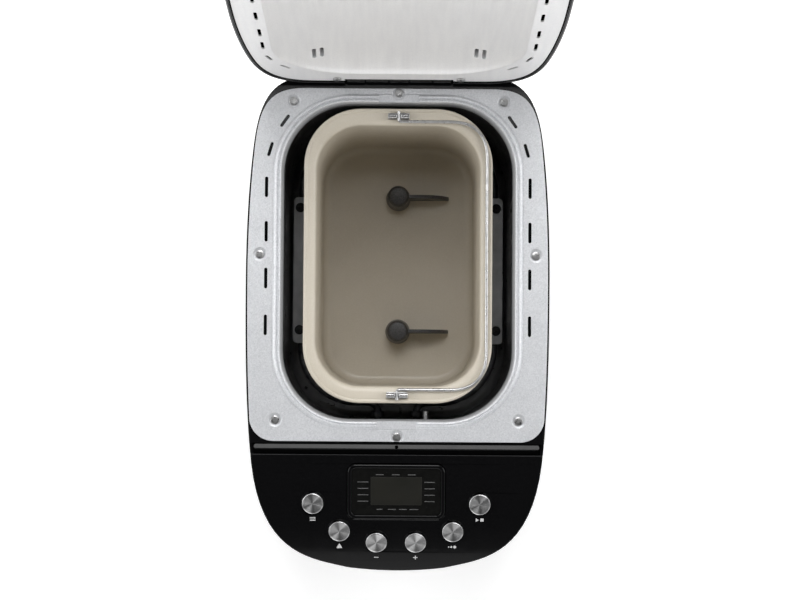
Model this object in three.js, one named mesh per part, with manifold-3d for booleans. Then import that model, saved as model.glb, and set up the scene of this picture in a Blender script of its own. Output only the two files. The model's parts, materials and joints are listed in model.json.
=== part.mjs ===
// Bread machine with an open lid, a lift-out pan and two kneading paddles.
// Millimetres, +Z up. The control panel faces -Y and the lid hinge is at +Y.
// The origin is on the floor, below the middle of the machine with its lid open. Sizes along Y
// are drawn from a line SHIFT_Y behind it, and the finished group is moved there.

import * as THREE from 'three';
import { mergeVertices } from 'three/addons/utils/BufferGeometryUtils.js';
import Module from 'manifold-3d';

const wasm = await Module();
wasm.setup();

// ---------------------------------------------------------------- driving dimensions

const GAP = 0.3;                 // clearance between touching pieces
const WALL = 2.5;                // moulded casing wall
const SHEET = 1.2;               // pressed sheet metal

const FLOOR_Z = 8;               // underside of the casing, held up by the feet
const DECK_Z = 238.2;            // top of the casing round the frame plate
const FRAME_Z = 240;             // top face of the frame plate
const BACK_Y = 156;              // back wall of the casing
const DECK_FRONT_Y = -144;       // front end of the deck
const RAIL_Y = [-151.6, -147.2]; // front rail, back to front of the catch strip
const PANEL_BACK_Y = -155.5;     // back edge of the control panel
const FRONT_Y = -253.4;          // middle of the front
const SHIFT_Y = 10;              // moves the drawn machine so that its box is centred on the origin

// Right half of the plan outline, from the middle of the back to the middle of the front.
// Two numbers end a line, four a quadratic curve and six a cubic curve.
const BODY_OUTLINE = [
  [0, BACK_Y], [66, BACK_Y], [92, BACK_Y, 112.6, 151.2, 118.8, 104], [123, 72, 125, 30, 125, -10],
  [125, -60, 124.5, -105, 120.8, -148], [115.4, -240, 73.3, -243.1, 40, -250.8], [20, FRONT_Y, 0, FRONT_Y],
];
const PLATE_OUTLINE = [
  [0, 145.6], [75.7, 145.6], [101.7, 145.6, 113, 137.2, 117.4, 104], [121.2, 72, 123.4, 30, 123.4, -10],
  [123.4, -60, 122.5, -95, 120.8, -126], [120.6, -136.5, 112, -145, 101, -145], [0, -145],
];
const LID_OUTLINE = [
  [0, 155.5], [66, 155.5], [92, 155.5, 109.5, 146, 117.1, 101], [122, 70, 124.4, 30, 124.6, -10],
  [124.6, -60, 123.6, -95, 122.6, -122], [122, -136, 112.5, -147, 98, -147], [0, -147],
];

const OPENING = { x: 95.8, y: 130.9, r: 57, cy: 2.9 }; // opening in the frame plate
const BEAD = 8;                                        // raised bead round the opening
const CHAMBER = { x: 97.8, y: 133.9, r: 59, cy: 2.9 }; // inside of the baking chamber
const CHAMBER_FLANGE = 2.4;
const CHAMBER_Z = [60, 236.4];
const PAN_CY = 7.9;
const PAN_RIM = { x: 77.8, y: 121.5, r: 47, cy: PAN_CY };
const PAN_BODY = { x: 68.6, y: 108.7, r: 38, cy: PAN_CY };
const PAN_BASE = { x: 40, y: 86, r: 30, cy: PAN_CY };
const PAN_Z = [85, 236];
const PAN_SKIRT_Z = 68;

const PADDLE_Y = [PAN_CY - 60, PAN_CY + 60];           // front and rear paddle axes
const MOTOR_Y = -190;
const MOTOR_PULLEY_R = 9;
const DRIVEN_R = 45;
const LINK_R = 26;
const DRIVE_BELT_Z = [23, 30];
const LINK_BELT_Z = [35, 42];

const PANEL_R = 240;             // side-view radius of the control panel
const PANEL_START = 3;           // its slope at the back edge, degrees
const PANEL_TOP_Z = 236.5;       // its height at the back edge
const PANEL_T = 3;
const DISPLAY_Y = -186.5;
const BUTTONS = [
  [-68.7, -196], [-46.8, -219], [-16.2, -228.3], [16.2, -228.3], [46.8, -219], [68.7, -196],
];
const BUTTON_R = 8.7;

const HINGE = { y: 154, z: 246 };
const LID_OPEN = -98;            // degrees from closed
const LID_Z = [-5.2, 38];        // rim and crown of the closed lid above the hinge axis
const RECESS = { x: 97, y: 130.3, r: 62, cy: 1.2 };
const RECESS_Z = 9;

// Right-hand vent slots of the frame plate: middle, lean from the Y axis and length.
const SLOTS = [
  [93.7, 118.3, 35, 12], [105.5, 94.8, 16.5, 12], [108.4, 63.6, 0, 17], [108.4, 27, 0, 17],
  [108.4, -11.5, 0, 17], [108.4, -50, 0, 17],
];
// Vent pairs in the floor of the lid recess.
const LID_VENT_X = [-67.6, -61.4, 61.4, 67.6];
const LID_VENT = { y: 103, length: 15, width: 3.2 };
// Right-hand slots of the lid lining's flange, given the same way.
const LID_SLOTS = [
  [90.9, 115.2, 39, 12], [102.6, 92, 19, 12], [105.4, 60.9, 0, 17], [105.4, 30, 0, 17],
  [105.4, -8, 0, 17], [105.4, -46, 0, 17],
];
const SLOT_W = 2.7;
const LID_SCREWS = [[-50.5, 146.5], [50.5, 146.5]];
const MOTOR_BASE_Z = 62;
const POWER_BOARD_Z = 32;
const FRAME_SCREWS = [
  [86.8, 134.4], [-86.8, 134.4], [0, 141.8], [113.4, 8], [-113.4, 8],
  [99.7, -127.6], [-99.7, -127.6], [0, -141],
];

// ---------------------------------------------------------------- materials

const paint = (color, roughness, metalness = 0) =>
  new THREE.MeshStandardMaterial({ color, roughness, metalness });

const MATERIAL = {
  gloss: paint(0x0b0b0c, 0.18),
  matt: paint(0x18181a, 0.7),
  rubber: paint(0x141414, 0.9),
  silver: paint(0xc4c6c8, 0.42, 0.7),
  steel: paint(0xb9bbbd, 0.3, 1),
  button: paint(0xc9cacc, 0.28, 1),
  chamber: paint(0x232426, 0.5, 0.6),
  element: paint(0x4a4d50, 0.45, 0.8),
  ceramic: paint(0xd8d0bd, 0.45),
  lens: paint(0x26241f, 0.12),
  board: paint(0x1d5a34, 0.6),
  belt: paint(0x1b1b1b, 0.85),
  nylon: paint(0xd9d6cc, 0.5),
};

// ---------------------------------------------------------------- solids

function solid(geometry) {
  const plain = geometry.clone();
  plain.deleteAttribute('normal');
  plain.deleteAttribute('uv');
  const merged = mergeVertices(plain, 1e-4);
  const corners = merged.index.array;
  const faces = [];
  for (let i = 0; i < corners.length; i += 3) {
    const [a, b, c] = corners.slice(i, i + 3);
    if (a !== b && b !== c && c !== a) {
      faces.push(a, b, c);
    }
  }
  return new wasm.Manifold(new wasm.Mesh({
    numProp: 3,
    vertProperties: new Float32Array(merged.attributes.position.array),
    triVerts: new Uint32Array(faces),
  }));
}

function geometryOf(manifold) {
  const mesh = manifold.getMesh();
  const geometry = new THREE.BufferGeometry();
  geometry.setAttribute('position', new THREE.BufferAttribute(mesh.vertProperties, 3));
  geometry.setIndex(new THREE.BufferAttribute(mesh.triVerts, 1));
  geometry.computeVertexNormals();
  return geometry;
}

const join = (first, ...rest) =>
  geometryOf(rest.reduce((sum, g) => sum.add(solid(g)), solid(first)));

const cut = (first, ...rest) =>
  geometryOf(rest.reduce((left, g) => left.subtract(solid(g)), solid(first)));

const common = (first, second) => geometryOf(solid(first).intersect(solid(second)));

function block(x, y, z) {
  const geometry = new THREE.BoxGeometry(x[1] - x[0], y[1] - y[0], z[1] - z[0]);
  return geometry.translate((x[0] + x[1]) / 2, (y[0] + y[1]) / 2, (z[0] + z[1]) / 2);
}

function prism(shape, z, curveSegments = 4) {
  const depth = z[1] - z[0];
  const geometry = new THREE.ExtrudeGeometry(shape, { depth, bevelEnabled: false, curveSegments });
  return geometry.translate(0, 0, z[0]);
}

// A prism whose lower end, or upper end, is rounded over by the given radius.
function roundedPrism(shape, z, radius, steps = 2) {
  const geometry = new THREE.ExtrudeGeometry(shape, {
    depth: z[1] - z[0] - 2 * radius,
    bevelThickness: radius,
    bevelSize: radius,
    bevelOffset: -radius,
    bevelSegments: steps,
    curveSegments: 4,
  });
  return geometry.translate(0, 0, z[0] + radius);
}

function rod(radius, z, at = [0, 0], sides = 16) {
  const geometry = new THREE.CylinderGeometry(radius, radius, z[1] - z[0], sides);
  return geometry.rotateX(Math.PI / 2).translate(at[0], at[1], (z[0] + z[1]) / 2);
}

// A turned piece: the profile lists [radius, height] from the axis and back to the axis.
function turned(profile, sides = 24) {
  const points = profile.map(([r, z]) => new THREE.Vector2(r, z));
  return new THREE.LatheGeometry(points, sides).rotateX(Math.PI / 2);
}

// ---------------------------------------------------------------- outlines

function roundRect({ x, y, r, cy = 0 }, inset = 0) {
  const a = x - inset;
  const b = y - inset;
  const c = Math.max(r - inset, 1);
  const shape = new THREE.Shape();
  shape.absarc(a - c, cy + b - c, c, 0, Math.PI / 2);
  shape.absarc(c - a, cy + b - c, c, Math.PI / 2, Math.PI);
  shape.absarc(c - a, cy + c - b, c, Math.PI, 1.5 * Math.PI);
  shape.absarc(a - c, cy + c - b, c, 1.5 * Math.PI, 2 * Math.PI);
  shape.closePath();
  return shape;
}

function ring(outer, inner, divisions = 4) {
  outer.holes.push(new THREE.Path(inner.getPoints(divisions)));
  return outer;
}

// The closed outline mirrored from its right half, moved inward by the inset.
function mirrored(steps, inset = 0, divisions = 6) {
  const half = new THREE.Path();
  half.moveTo(...steps[0]);
  for (const step of steps.slice(1)) {
    if (step.length === 2) {
      half.lineTo(...step);
    } else if (step.length === 4) {
      half.quadraticCurveTo(...step);
    } else {
      half.bezierCurveTo(...step);
    }
  }
  const right = half.getPoints(divisions);
  const left = right.slice(1, -1).reverse().map((p) => new THREE.Vector2(-p.x, p.y));
  return new THREE.Shape(insetPoints([...right, ...left], inset));
}

function insetPoints(points, inset) {
  return points.map((p, i) => {
    const before = points.at(i - 1);
    const after = points[(i + 1) % points.length];
    const inOne = p.clone().sub(before).normalize();
    const outOne = after.clone().sub(p).normalize();
    const along = inOne.clone().add(outOne).normalize();
    const reach = inset / Math.max(along.dot(inOne), 0.5);
    return new THREE.Vector2(p.x + along.y * reach, p.y - along.x * reach);
  });
}

function circleHole(x, y, r, sides = 12) {
  return rod(r, [-50, 500], [x, y], sides);
}

// A slot leaning by the angle from the Y axis.
function slotCutter(x, y, lean, length, width, z) {
  const geometry = block([-width / 2, width / 2], [-length / 2, length / 2], z);
  return geometry.rotateZ(THREE.MathUtils.degToRad(lean)).translate(x, y, 0);
}

// ---------------------------------------------------------------- control panel surface

const panelCentre = {
  y: PANEL_BACK_Y + PANEL_R * Math.sin(THREE.MathUtils.degToRad(PANEL_START)),
  z: PANEL_TOP_Z - PANEL_R * Math.cos(THREE.MathUtils.degToRad(PANEL_START)),
};

function panelSlope(y) {
  return Math.asin((panelCentre.y - y) / PANEL_R);
}

function panelHeight(y) {
  return panelCentre.z + PANEL_R * Math.cos(panelSlope(y));
}

// Moves a geometry made about the Z axis so that it stands square on the panel.
function onPanel(geometry, x, y) {
  return geometry.rotateX(panelSlope(y)).translate(x, y, panelHeight(y));
}

// A slab across the machine between two offsets from the panel surface.
function panelSlab(low, high, fromY = PANEL_BACK_Y, toY = FRONT_Y - 8, steps = 7) {
  const shape = new THREE.Shape();
  const arc = (offset, start, end) => {
    for (let i = 0; i <= steps; i += 1) {
      const slope = panelSlope(start + ((end - start) * i) / steps);
      const radius = PANEL_R + offset;
      const y = panelCentre.y - radius * Math.sin(slope);
      const z = panelCentre.z + radius * Math.cos(slope);
      if (shape.curves.length === 0 && i === 0 && offset === high) {
        shape.moveTo(y, z);
      } else {
        shape.lineTo(y, z);
      }
    }
  };
  arc(high, fromY, toY);
  arc(low, toY, fromY);
  return acrossX(shape, 135);
}

// Extrudes a side view, drawn as (Y, Z), across the machine.
function acrossX(shape, half) {
  const geometry = new THREE.ExtrudeGeometry(shape, { depth: 2 * half, bevelEnabled: false });
  const turn = new THREE.Matrix4().makeBasis(
    new THREE.Vector3(0, 1, 0), new THREE.Vector3(0, 0, 1), new THREE.Vector3(1, 0, 0));
  return geometry.applyMatrix4(turn).translate(-half, 0, 0);
}

// ---------------------------------------------------------------- casing

function housingShell() {
  const railZ = 226;
  const beamZ = 222;
  let shell = prism(mirrored(BODY_OUTLINE), [FLOOR_Z, DECK_Z]);
  const wide = [-140, 140];
  const railSpan = [PANEL_BACK_Y - 0.5, DECK_FRONT_Y - WALL - 0.2];
  const inner = prism(mirrored(BODY_OUTLINE, WALL), [FLOOR_Z - 3, 300]);
  const rear = common(inner, block(wide, [DECK_FRONT_Y, 200], [0, DECK_Z - WALL]));
  const front = common(inner, block(wide, [-300, railSpan[0]], [0, 300]));
  const underRail = common(inner, block(wide, [railSpan[0] - 1, DECK_FRONT_Y + 1], [0, beamZ]));
  const railBed = common(inner, block(wide, railSpan, [railZ, 300]));
  shell = cut(shell, rear, front, underRail, railBed,
    block(wide, [-300, railSpan[1]], [PANEL_TOP_Z - 0.6, 300]),
    panelSlab(-PANEL_T - GAP, 60),
    prism(roundRect(CHAMBER, -CHAMBER_FLANGE - 0.4), [200, 300]),
    ...FRAME_SCREWS.map(([x, y]) => circleHole(x, y, 2, 8)),
    rearVents(), rod(7.4, [-20, 20], [0, 0], 12).rotateX(Math.PI / 2).translate(-60, BACK_Y, 34));
  return shell;
}

function rearVents() {
  const count = 9;
  const pitch = 9;
  const cutters = [];
  for (let i = 0; i < count; i += 1) {
    const x = (i - (count - 1) / 2) * pitch;
    cutters.push(block([x - 1.6, x + 1.6], [BACK_Y - 10, BACK_Y + 10], [150, 200]));
  }
  return join(...cutters);
}

function basePlate() {
  const chamberPosts = [[-60, -95], [60, -95], [-60, 110], [60, 110]];
  const motorPosts = [-30, 30].flatMap((x) => [[x, MOTOR_Y - 24], [x, MOTOR_Y + 24]]);
  const plate = join(
    prism(mirrored(BODY_OUTLINE, WALL + GAP), [FLOOR_Z, FLOOR_Z + WALL]),
    ...chamberPosts.map((at) => rod(4, [FLOOR_Z + 1, CHAMBER_Z[0] - GAP], at, 6)),
    ...motorPosts.map((at) => rod(4, [FLOOR_Z + 1, MOTOR_BASE_Z - GAP], at, 6)),
    ...[[71, -210], [71, -164]].map((at) => rod(3.5, [FLOOR_Z + 1, POWER_BOARD_Z - GAP], at, 6)));
  const vents = [];
  for (const x of [-84, -76, -68, 68, 76, 84]) {
    vents.push(block([x - 1.5, x + 1.5], [-30, 30], [0, 20]));
  }
  return cut(plate, ...vents);
}

function foot() {
  return turned([[0, 0], [11, 0], [12.5, 1.5], [12.5, FLOOR_Z - GAP], [0, FLOOR_Z - GAP]], 16);
}

function frontRail() {
  const bar = block([-117, 117], RAIL_Y, [226.4, PANEL_TOP_Z + 2]);
  const ends = { x: 117, y: 2.2, r: 2, cy: (RAIL_Y[0] + RAIL_Y[1]) / 2 };
  return cut(common(bar, prism(roundRect(ends), [200, 300], 3)), circleHole(0, ends.cy, 1.5, 8));
}

function cableGland() {
  const gland = turned([
    [0, -6], [6.6, -6], [6.6, 0.2], [10, 0.2], [9, 5], [6.5, 9], [3.6, 9], [3.6, -4], [0, -4],
  ], 16);
  return gland.rotateX(-Math.PI / 2);
}

// ---------------------------------------------------------------- frame plate

function topFrame() {
  const lipZ = 227;
  const plate = prism(ring(mirrored(PLATE_OUTLINE), roundRect(OPENING)), [FRAME_Z - SHEET, FRAME_Z]);
  const bead = roundedPrism(roundRect(OPENING, -BEAD), [FRAME_Z - 1, FRAME_Z + 1.4], 0.9, 2);
  const lip = prism(roundRect(OPENING, -SHEET), [lipZ, FRAME_Z]);
  const tabs = [[120, 160], [-160, -120]].map((y) => block([-16.5, 16.5], y, [FRAME_Z, FRAME_Z + 5]));
  const slots = SLOTS.flatMap(([x, y, lean, length]) => [
    slotCutter(x, y, lean, length, SLOT_W, [230, 250]),
    slotCutter(-x, y, -lean, length, SLOT_W, [230, 250]),
  ]);
  return cut(join(plate, bead, lip), prism(roundRect(OPENING), [200, 300]), ...tabs, ...slots,
    ...FRAME_SCREWS.map(([x, y]) => circleHole(x, y, 2, 8)));
}

function screw(length) {
  const head = 3.6;
  const profile = [[0, -length], [1.6, -length], [1.6, 0.3], [head, 0.3], [head - 0.3, 1.1], [0, 1.6]];
  return turned(profile, 10);
}

// ---------------------------------------------------------------- control panel and display

function controlPanel() {
  const outline = prism(mirrored(BODY_OUTLINE, 0.1), [120, 260]);
  const holes = BUTTONS.map(([x, y]) => onPanel(rod(BUTTON_R + GAP + 0.1, [-8, 8], [0, 0], 20), x, y));
  const window = onPanel(prism(roundRect({ x: 40.3, y: 23.3, r: 7 }), [-8, 8], 3), 0, DISPLAY_Y);
  return cut(common(panelSlab(-PANEL_T, 0), outline), window, ...holes);
}

function displayBezel() {
  const frame = ring(roundRect({ x: 40, y: 23, r: 6.7 }), roundRect({ x: 36.8, y: 19.8, r: 4 }));
  return common(panelSlab(-PANEL_T, 1.1), onPanel(prism(frame, [-9, 9], 3), 0, DISPLAY_Y));
}

function displayLens() {
  const outline = { x: 36.5, y: 19.5, r: 3.8 };
  return common(panelSlab(-1.8, 0.2), onPanel(prism(roundRect(outline), [-9, 9], 3), 0, DISPLAY_Y));
}

function lcdModule() {
  return onPanel(block([-33, 33], [-18, 18], [-9, -4]), 0, DISPLAY_Y);
}

// A spun metal cap on a stem that reaches the switch below it.
function button() {
  return turned([
    [0, -9], [2.2, -9], [2.2, -2.2], [BUTTON_R, -2.2], [BUTTON_R, 1.8], [BUTTON_R - 0.8, 2.6], [0, 2.6],
  ], 16);
}

function controlBoard() {
  const tilt = panelSlope(-208);
  const place = new THREE.Matrix4().makeRotationX(tilt).setPosition(0, -208, panelHeight(-208) - 22);
  const parts = [block([-73, 73], [-26, 30], [0, 1.6])];
  for (const [x, y] of BUTTONS) {
    const stem = new THREE.Vector3(0, 0, -10.6).applyAxisAngle(new THREE.Vector3(1, 0, 0), panelSlope(y));
    stem.add(new THREE.Vector3(x, y, panelHeight(y))).applyMatrix4(place.clone().invert());
    parts.push(block([x - 3, x + 3], [stem.y - 3, stem.y + 3], [1, stem.z]));
  }
  return join(...parts).applyMatrix4(place);
}

// ---------------------------------------------------------------- chamber and heater

function bakingChamber() {
  const [low, high] = CHAMBER_Z;
  const outside = roundedPrism(roundRect(CHAMBER, -SHEET), [low, high + 20], 5, 2);
  const inside = roundedPrism(roundRect(CHAMBER), [low + SHEET, high + 40], 5, 2);
  const flange = prism(roundRect(CHAMBER, -CHAMBER_FLANGE), [high - SHEET, high]);
  const top = prism(roundRect(CHAMBER, -20), [high, high + 60]);
  const holes = PADDLE_Y.map((y) => circleHole(0, y, 7, 12));
  const terminals = [-17.5, 17.5].map((x) => rod(4.2, [-8, 8], [0, 0], 10).rotateX(Math.PI / 2)
    .translate(x, CHAMBER.cy - CHAMBER.y, 82));
  const sensor = rod(3, [-8, 8], [0, 0], 10).rotateX(Math.PI / 2).translate(24, CHAMBER.cy - CHAMBER.y, 205);
  return cut(join(outside, flange), top, inside, ...holes, ...terminals, sensor);
}

function heatingElement() {
  const z = 82;
  const run = { x: 87, front: -116, back: 126.5, r: 50 };
  const wallY = CHAMBER.cy - CHAMBER.y;
  const path = new THREE.CurvePath();
  const half = [];
  const corner = run.r * 0.55;
  const p = (x, y) => new THREE.Vector3(x, y, z);
  half.push(new THREE.LineCurve3(p(0, run.back), p(run.x - run.r, run.back)));
  half.push(new THREE.CubicBezierCurve3(p(run.x - run.r, run.back), p(run.x - run.r + corner, run.back),
    p(run.x, run.back - run.r + corner), p(run.x, run.back - run.r)));
  half.push(new THREE.LineCurve3(p(run.x, run.back - run.r), p(run.x, run.front + run.r)));
  half.push(new THREE.CubicBezierCurve3(p(run.x, run.front + run.r), p(run.x, run.front + run.r - corner),
    p(run.x - run.r + corner, run.front), p(run.x - run.r, run.front)));
  half.push(new THREE.LineCurve3(p(run.x - run.r, run.front), p(27, run.front)));
  half.push(new THREE.QuadraticBezierCurve3(p(27, run.front), p(17.5, run.front), p(17.5, run.front - 8)));
  half.push(new THREE.LineCurve3(p(17.5, run.front - 8), p(17.5, wallY - 8)));
  const points = half.flatMap((curve, i) => {
    const divisions = curve.type.startsWith('Line') ? 1 : 6;
    return curve.getPoints(divisions).slice(i ? 1 : 0);
  });
  const all = [...points.slice(1).reverse().map((q) => new THREE.Vector3(-q.x, q.y, q.z)), ...points];
  for (let i = 1; i < all.length; i += 1) {
    path.add(new THREE.LineCurve3(all[i - 1], all[i]));
  }
  const section = new THREE.Shape().absarc(0, 0, 3.25, 0, 2 * Math.PI);
  const tube = new THREE.ExtrudeGeometry(section, { steps: 64, extrudePath: path, curveSegments: 4 });
  const collars = [-17.5, 17.5].map((x) => rod(6, [-2.5, 2.5], [0, 0], 10).rotateX(Math.PI / 2)
    .translate(x, wallY + 4.5, z));
  return join(tube, ...collars);
}

// Stamped strip that shields the long side of the element, with a foot on the floor.
function elementGuard(side) {
  const top = block([76, 94.5], [-63, 69], [89, 90.2]);
  const foot = block([76, 77.2], [-63, 69], [CHAMBER_Z[0] + SHEET + GAP, 90.2]);
  const sill = block([76, 79.6], [-63, 69], [CHAMBER_Z[0] + SHEET + GAP, CHAMBER_Z[0] + 2 * SHEET + GAP]);
  const guard = join(top, foot, sill);
  return side > 0 ? guard : guard.rotateZ(Math.PI).translate(0, 6, 0);
}

function temperatureSensor() {
  const wallY = CHAMBER.cy - CHAMBER.y;
  const probe = turned([
    [0, -9], [2.4, -9], [2.4, 1.5], [4.6, 1.5], [4.6, 3], [2.2, 3], [2.2, 11], [0, 12],
  ], 12);
  return probe.rotateX(Math.PI / 2).rotateZ(Math.PI).translate(24, wallY - 0.9, 205);
}

function panSeat() {
  const z = CHAMBER_Z[0] + SHEET + GAP;
  const base = prism(roundRect(PAN_BASE, -14), [z, z + 1.5]);
  const wall = prism(ring(roundRect(PAN_BASE, -3.2), roundRect(PAN_BASE, -1.7)), [z, z + 12]);
  const clips = [-1, 1].flatMap((end) => {
    const y = PAN_CY + end * (PAN_BODY.y + 2.5);
    const arm = [y, PAN_CY + end * PAN_BASE.y].sort((a, b) => a - b);
    return [block([-9, 9], [y - 0.5, y + 0.5], [z, z + 42]), block([-9, 9], arm, [z, z + 1.5])];
  });
  return cut(join(base, wall, ...clips), ...PADDLE_Y.map((y) => circleHole(0, y, 5, 12)));
}

// ---------------------------------------------------------------- drive

function motor() {
  const can = turned([
    [0, MOTOR_BASE_Z], [38, MOTOR_BASE_Z], [38, 80], [30, 84], [30, 124], [24, 130], [0, 130],
  ], 24);
  const stack = block([-34, 34], [-34, 34], [84, 112]);
  return cut(join(can, stack), rod(4, [40, 110], [0, 0], 12));
}

function groovedWheel(radius, z, sides = 22) {
  const flange = 1.2;
  return turned([
    [0, z[0]], [radius + 2, z[0]], [radius + 2, z[0] + flange], [radius, z[0] + flange],
    [radius, z[1] - flange], [radius + 2, z[1] - flange], [radius + 2, z[1]], [0, z[1]],
  ], sides);
}

function motorPulley() {
  const wheel = groovedWheel(MOTOR_PULLEY_R, [DRIVE_BELT_Z[0] - 1.5, DRIVE_BELT_Z[1] + 1.5], 16);
  return join(wheel, rod(3.6, [DRIVE_BELT_Z[1], 100], [0, 0], 12));
}

function frontPulley() {
  const big = groovedWheel(DRIVEN_R, [DRIVE_BELT_Z[0] - 1.5, DRIVE_BELT_Z[1] + 1.5]);
  const small = groovedWheel(LINK_R, [LINK_BELT_Z[0] - 1.5, LINK_BELT_Z[1] + 1.5], 20);
  const hub = rod(12, [DRIVE_BELT_Z[0], LINK_BELT_Z[1]], [0, 0], 16);
  return cut(join(big, small, hub), rod(4.3, [0, 100], [0, 0], 12));
}

function rearPulley() {
  const wheel = groovedWheel(LINK_R, [LINK_BELT_Z[0] - 1.5, LINK_BELT_Z[1] + 1.5], 20);
  return cut(wheel, rod(4.3, [0, 100], [0, 0], 12));
}

// The loop of a belt round two wheels on the Y axis.
function belt(firstY, firstR, secondY, secondR, z) {
  const loop = (extra) => {
    const lean = Math.asin((secondR - firstR) / (secondY - firstY));
    const shape = new THREE.Shape();
    shape.absarc(0, firstY, firstR + extra, Math.PI + lean, 2 * Math.PI - lean);
    shape.absarc(0, secondY, secondR + extra, -lean, Math.PI + lean);
    shape.closePath();
    return shape;
  };
  return prism(ring(loop(GAP + 1.5), loop(GAP + 0.2), 10), [z[0] + 0.4, z[1] - 0.4], 10);
}

function driveShaft(lowZ) {
  const dogZ = 66;
  const shaft = rod(4, [lowZ, dogZ + 1], [0, 0], 12);
  const disc = rod(13, [dogZ, dogZ + 3], [0, 0], 16);
  const dogs = [-1, 1].map((side) => rod(2.5, [dogZ + 2, dogZ + 10], [side * 9.5, 0], 8));
  return join(shaft, disc, ...dogs);
}

// Mains board with its transformer, relay and two capacitors.
function powerBoard() {
  const z = POWER_BOARD_Z;
  const board = block([50, 92], [-214, -160], [z, z + 1.6]);
  const transformer = block([56, 80], [-184, -164], [z + 1, z + 24]);
  const relay = block([54, 68], [-210, -194], [z + 1, z + 14]);
  const capacitors = [-202, -190].map((y) => rod(5, [z + 1, z + 18], [80, y], 10));
  return join(board, transformer, relay, ...capacitors);
}

// ---------------------------------------------------------------- pan

function breadPan() {
  const [low, high] = PAN_Z;
  const outside = roundedPrism(roundRect(PAN_BODY), [low, high + 20], 8, 2);
  const inside = roundedPrism(roundRect(PAN_BODY, SHEET), [low + SHEET, high + 40], 8, 2);
  const rim = prism(roundRect(PAN_RIM), [high - SHEET - 0.6, high]);
  const skirt = prism(ring(roundRect(PAN_BASE), roundRect(PAN_BASE, SHEET)), [PAN_SKIRT_Z, low + 0.6]);
  const top = prism(roundRect(PAN_RIM, -20), [high, high + 60]);
  return cut(join(outside, rim, skirt), top, inside, ...PADDLE_Y.map((y) => circleHole(0, y, 4.6, 12)));
}

// Saddle riveted on the rim; the end of the wire handle turns in it.
function handleLug() {
  const saddle = block([-9, 9], [-2.8, 2.8], [PAN_Z[1] + GAP, PAN_Z[1] + 4.6]);
  return cut(saddle, rod(1.7, [-5, 5], [0, 0], 10).rotateX(Math.PI / 2).translate(0, 0, PAN_Z[1] + 2.2));
}

function panHandle(lugY) {
  const wire = 1.3;
  const reach = 73;
  const bend = 30;
  const z = PAN_Z[1] + 2.2;
  const [front, back] = lugY;
  const p = (x, y) => new THREE.Vector3(x, y, z);
  const straight = (a, b) => [new THREE.LineCurve3(a, b)];
  const path = new THREE.CurvePath();
  const inner = { front: front + 4.6, back: back - 4.6 };
  const corner = (a, control, b) => {
    const points = new THREE.QuadraticBezierCurve3(a, control, b).getPoints(7);
    return points.slice(1).map((q, i) => new THREE.LineCurve3(points[i], q));
  };
  const runs = [
    straight(p(0, front - 4.5), p(0, inner.front - 2)),
    corner(p(0, inner.front - 2), p(0, inner.front), p(2, inner.front)),
    straight(p(2, inner.front), p(reach - bend, inner.front)),
    corner(p(reach - bend, inner.front), p(reach, inner.front), p(reach, inner.front + bend)),
    straight(p(reach, inner.front + bend), p(reach, inner.back - bend)),
    corner(p(reach, inner.back - bend), p(reach, inner.back), p(reach - bend, inner.back)),
    straight(p(reach - bend, inner.back), p(2, inner.back)),
    corner(p(2, inner.back), p(0, inner.back), p(0, inner.back + 2)),
    straight(p(0, inner.back + 2), p(0, back + 4.5)),
  ];
  runs.flat().forEach((curve) => path.add(curve));
  const section = new THREE.Shape().absarc(0, 0, wire, 0, 2 * Math.PI);
  return new THREE.ExtrudeGeometry(section, { steps: 84, extrudePath: path, curveSegments: 3 });
}

function panShaft() {
  const shaft = rod(4, [72, 112], [0, 0], 12);
  const wing = block([-12.5, 12.5], [-3, 3], [72, 76.5]).rotateZ(Math.PI / 2);
  const collar = rod(8, [PAN_Z[0] + SHEET + GAP, PAN_Z[0] + 4], [0, 0], 14);
  return join(shaft, wing, collar);
}

function kneadingPaddle() {
  const floor = PAN_Z[0] + 4 + GAP;
  const hub = turned([[0, floor], [11, floor], [9.5, floor + 26], [7, floor + 29], [0, floor + 29]], 18);
  const blade = new THREE.Shape();
  blade.moveTo(4, floor);
  blade.lineTo(42, floor + 0.6);
  blade.quadraticCurveTo(47, floor + 1, 45, floor + 6);
  blade.quadraticCurveTo(38, floor + 24, 20, floor + 25);
  blade.lineTo(4, floor + 25);
  blade.closePath();
  const fin = new THREE.ExtrudeGeometry(blade, { depth: 3.4, bevelEnabled: false, curveSegments: 5 });
  fin.translate(0, 0, -1.7).rotateX(Math.PI / 2);
  return cut(join(hub, fin), rod(4.3, [60, floor + 24], [0, 0], 12));
}

// ---------------------------------------------------------------- lid and hinge

const toHinge = (geometry) => geometry.translate(0, -HINGE.y, 0);

function lidOuter() {
  const round = 16;
  const outside = roundedPrism(mirrored(LID_OUTLINE), [LID_Z[0] - 2 * round, LID_Z[1]], round, 3);
  const hollow = [LID_Z[0] - 2 * round, LID_Z[1] - WALL];
  const inside = roundedPrism(mirrored(LID_OUTLINE, WALL), hollow, round - 1, 3);
  const below = block([-200, 200], [-200, 200], [-80, LID_Z[0]]);
  const notch = block([-44.5, 44.5], [HINGE.y - 9, HINGE.y + 5], [-20, 6]);
  return toHinge(cut(outside, inside, below, notch));
}

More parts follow.
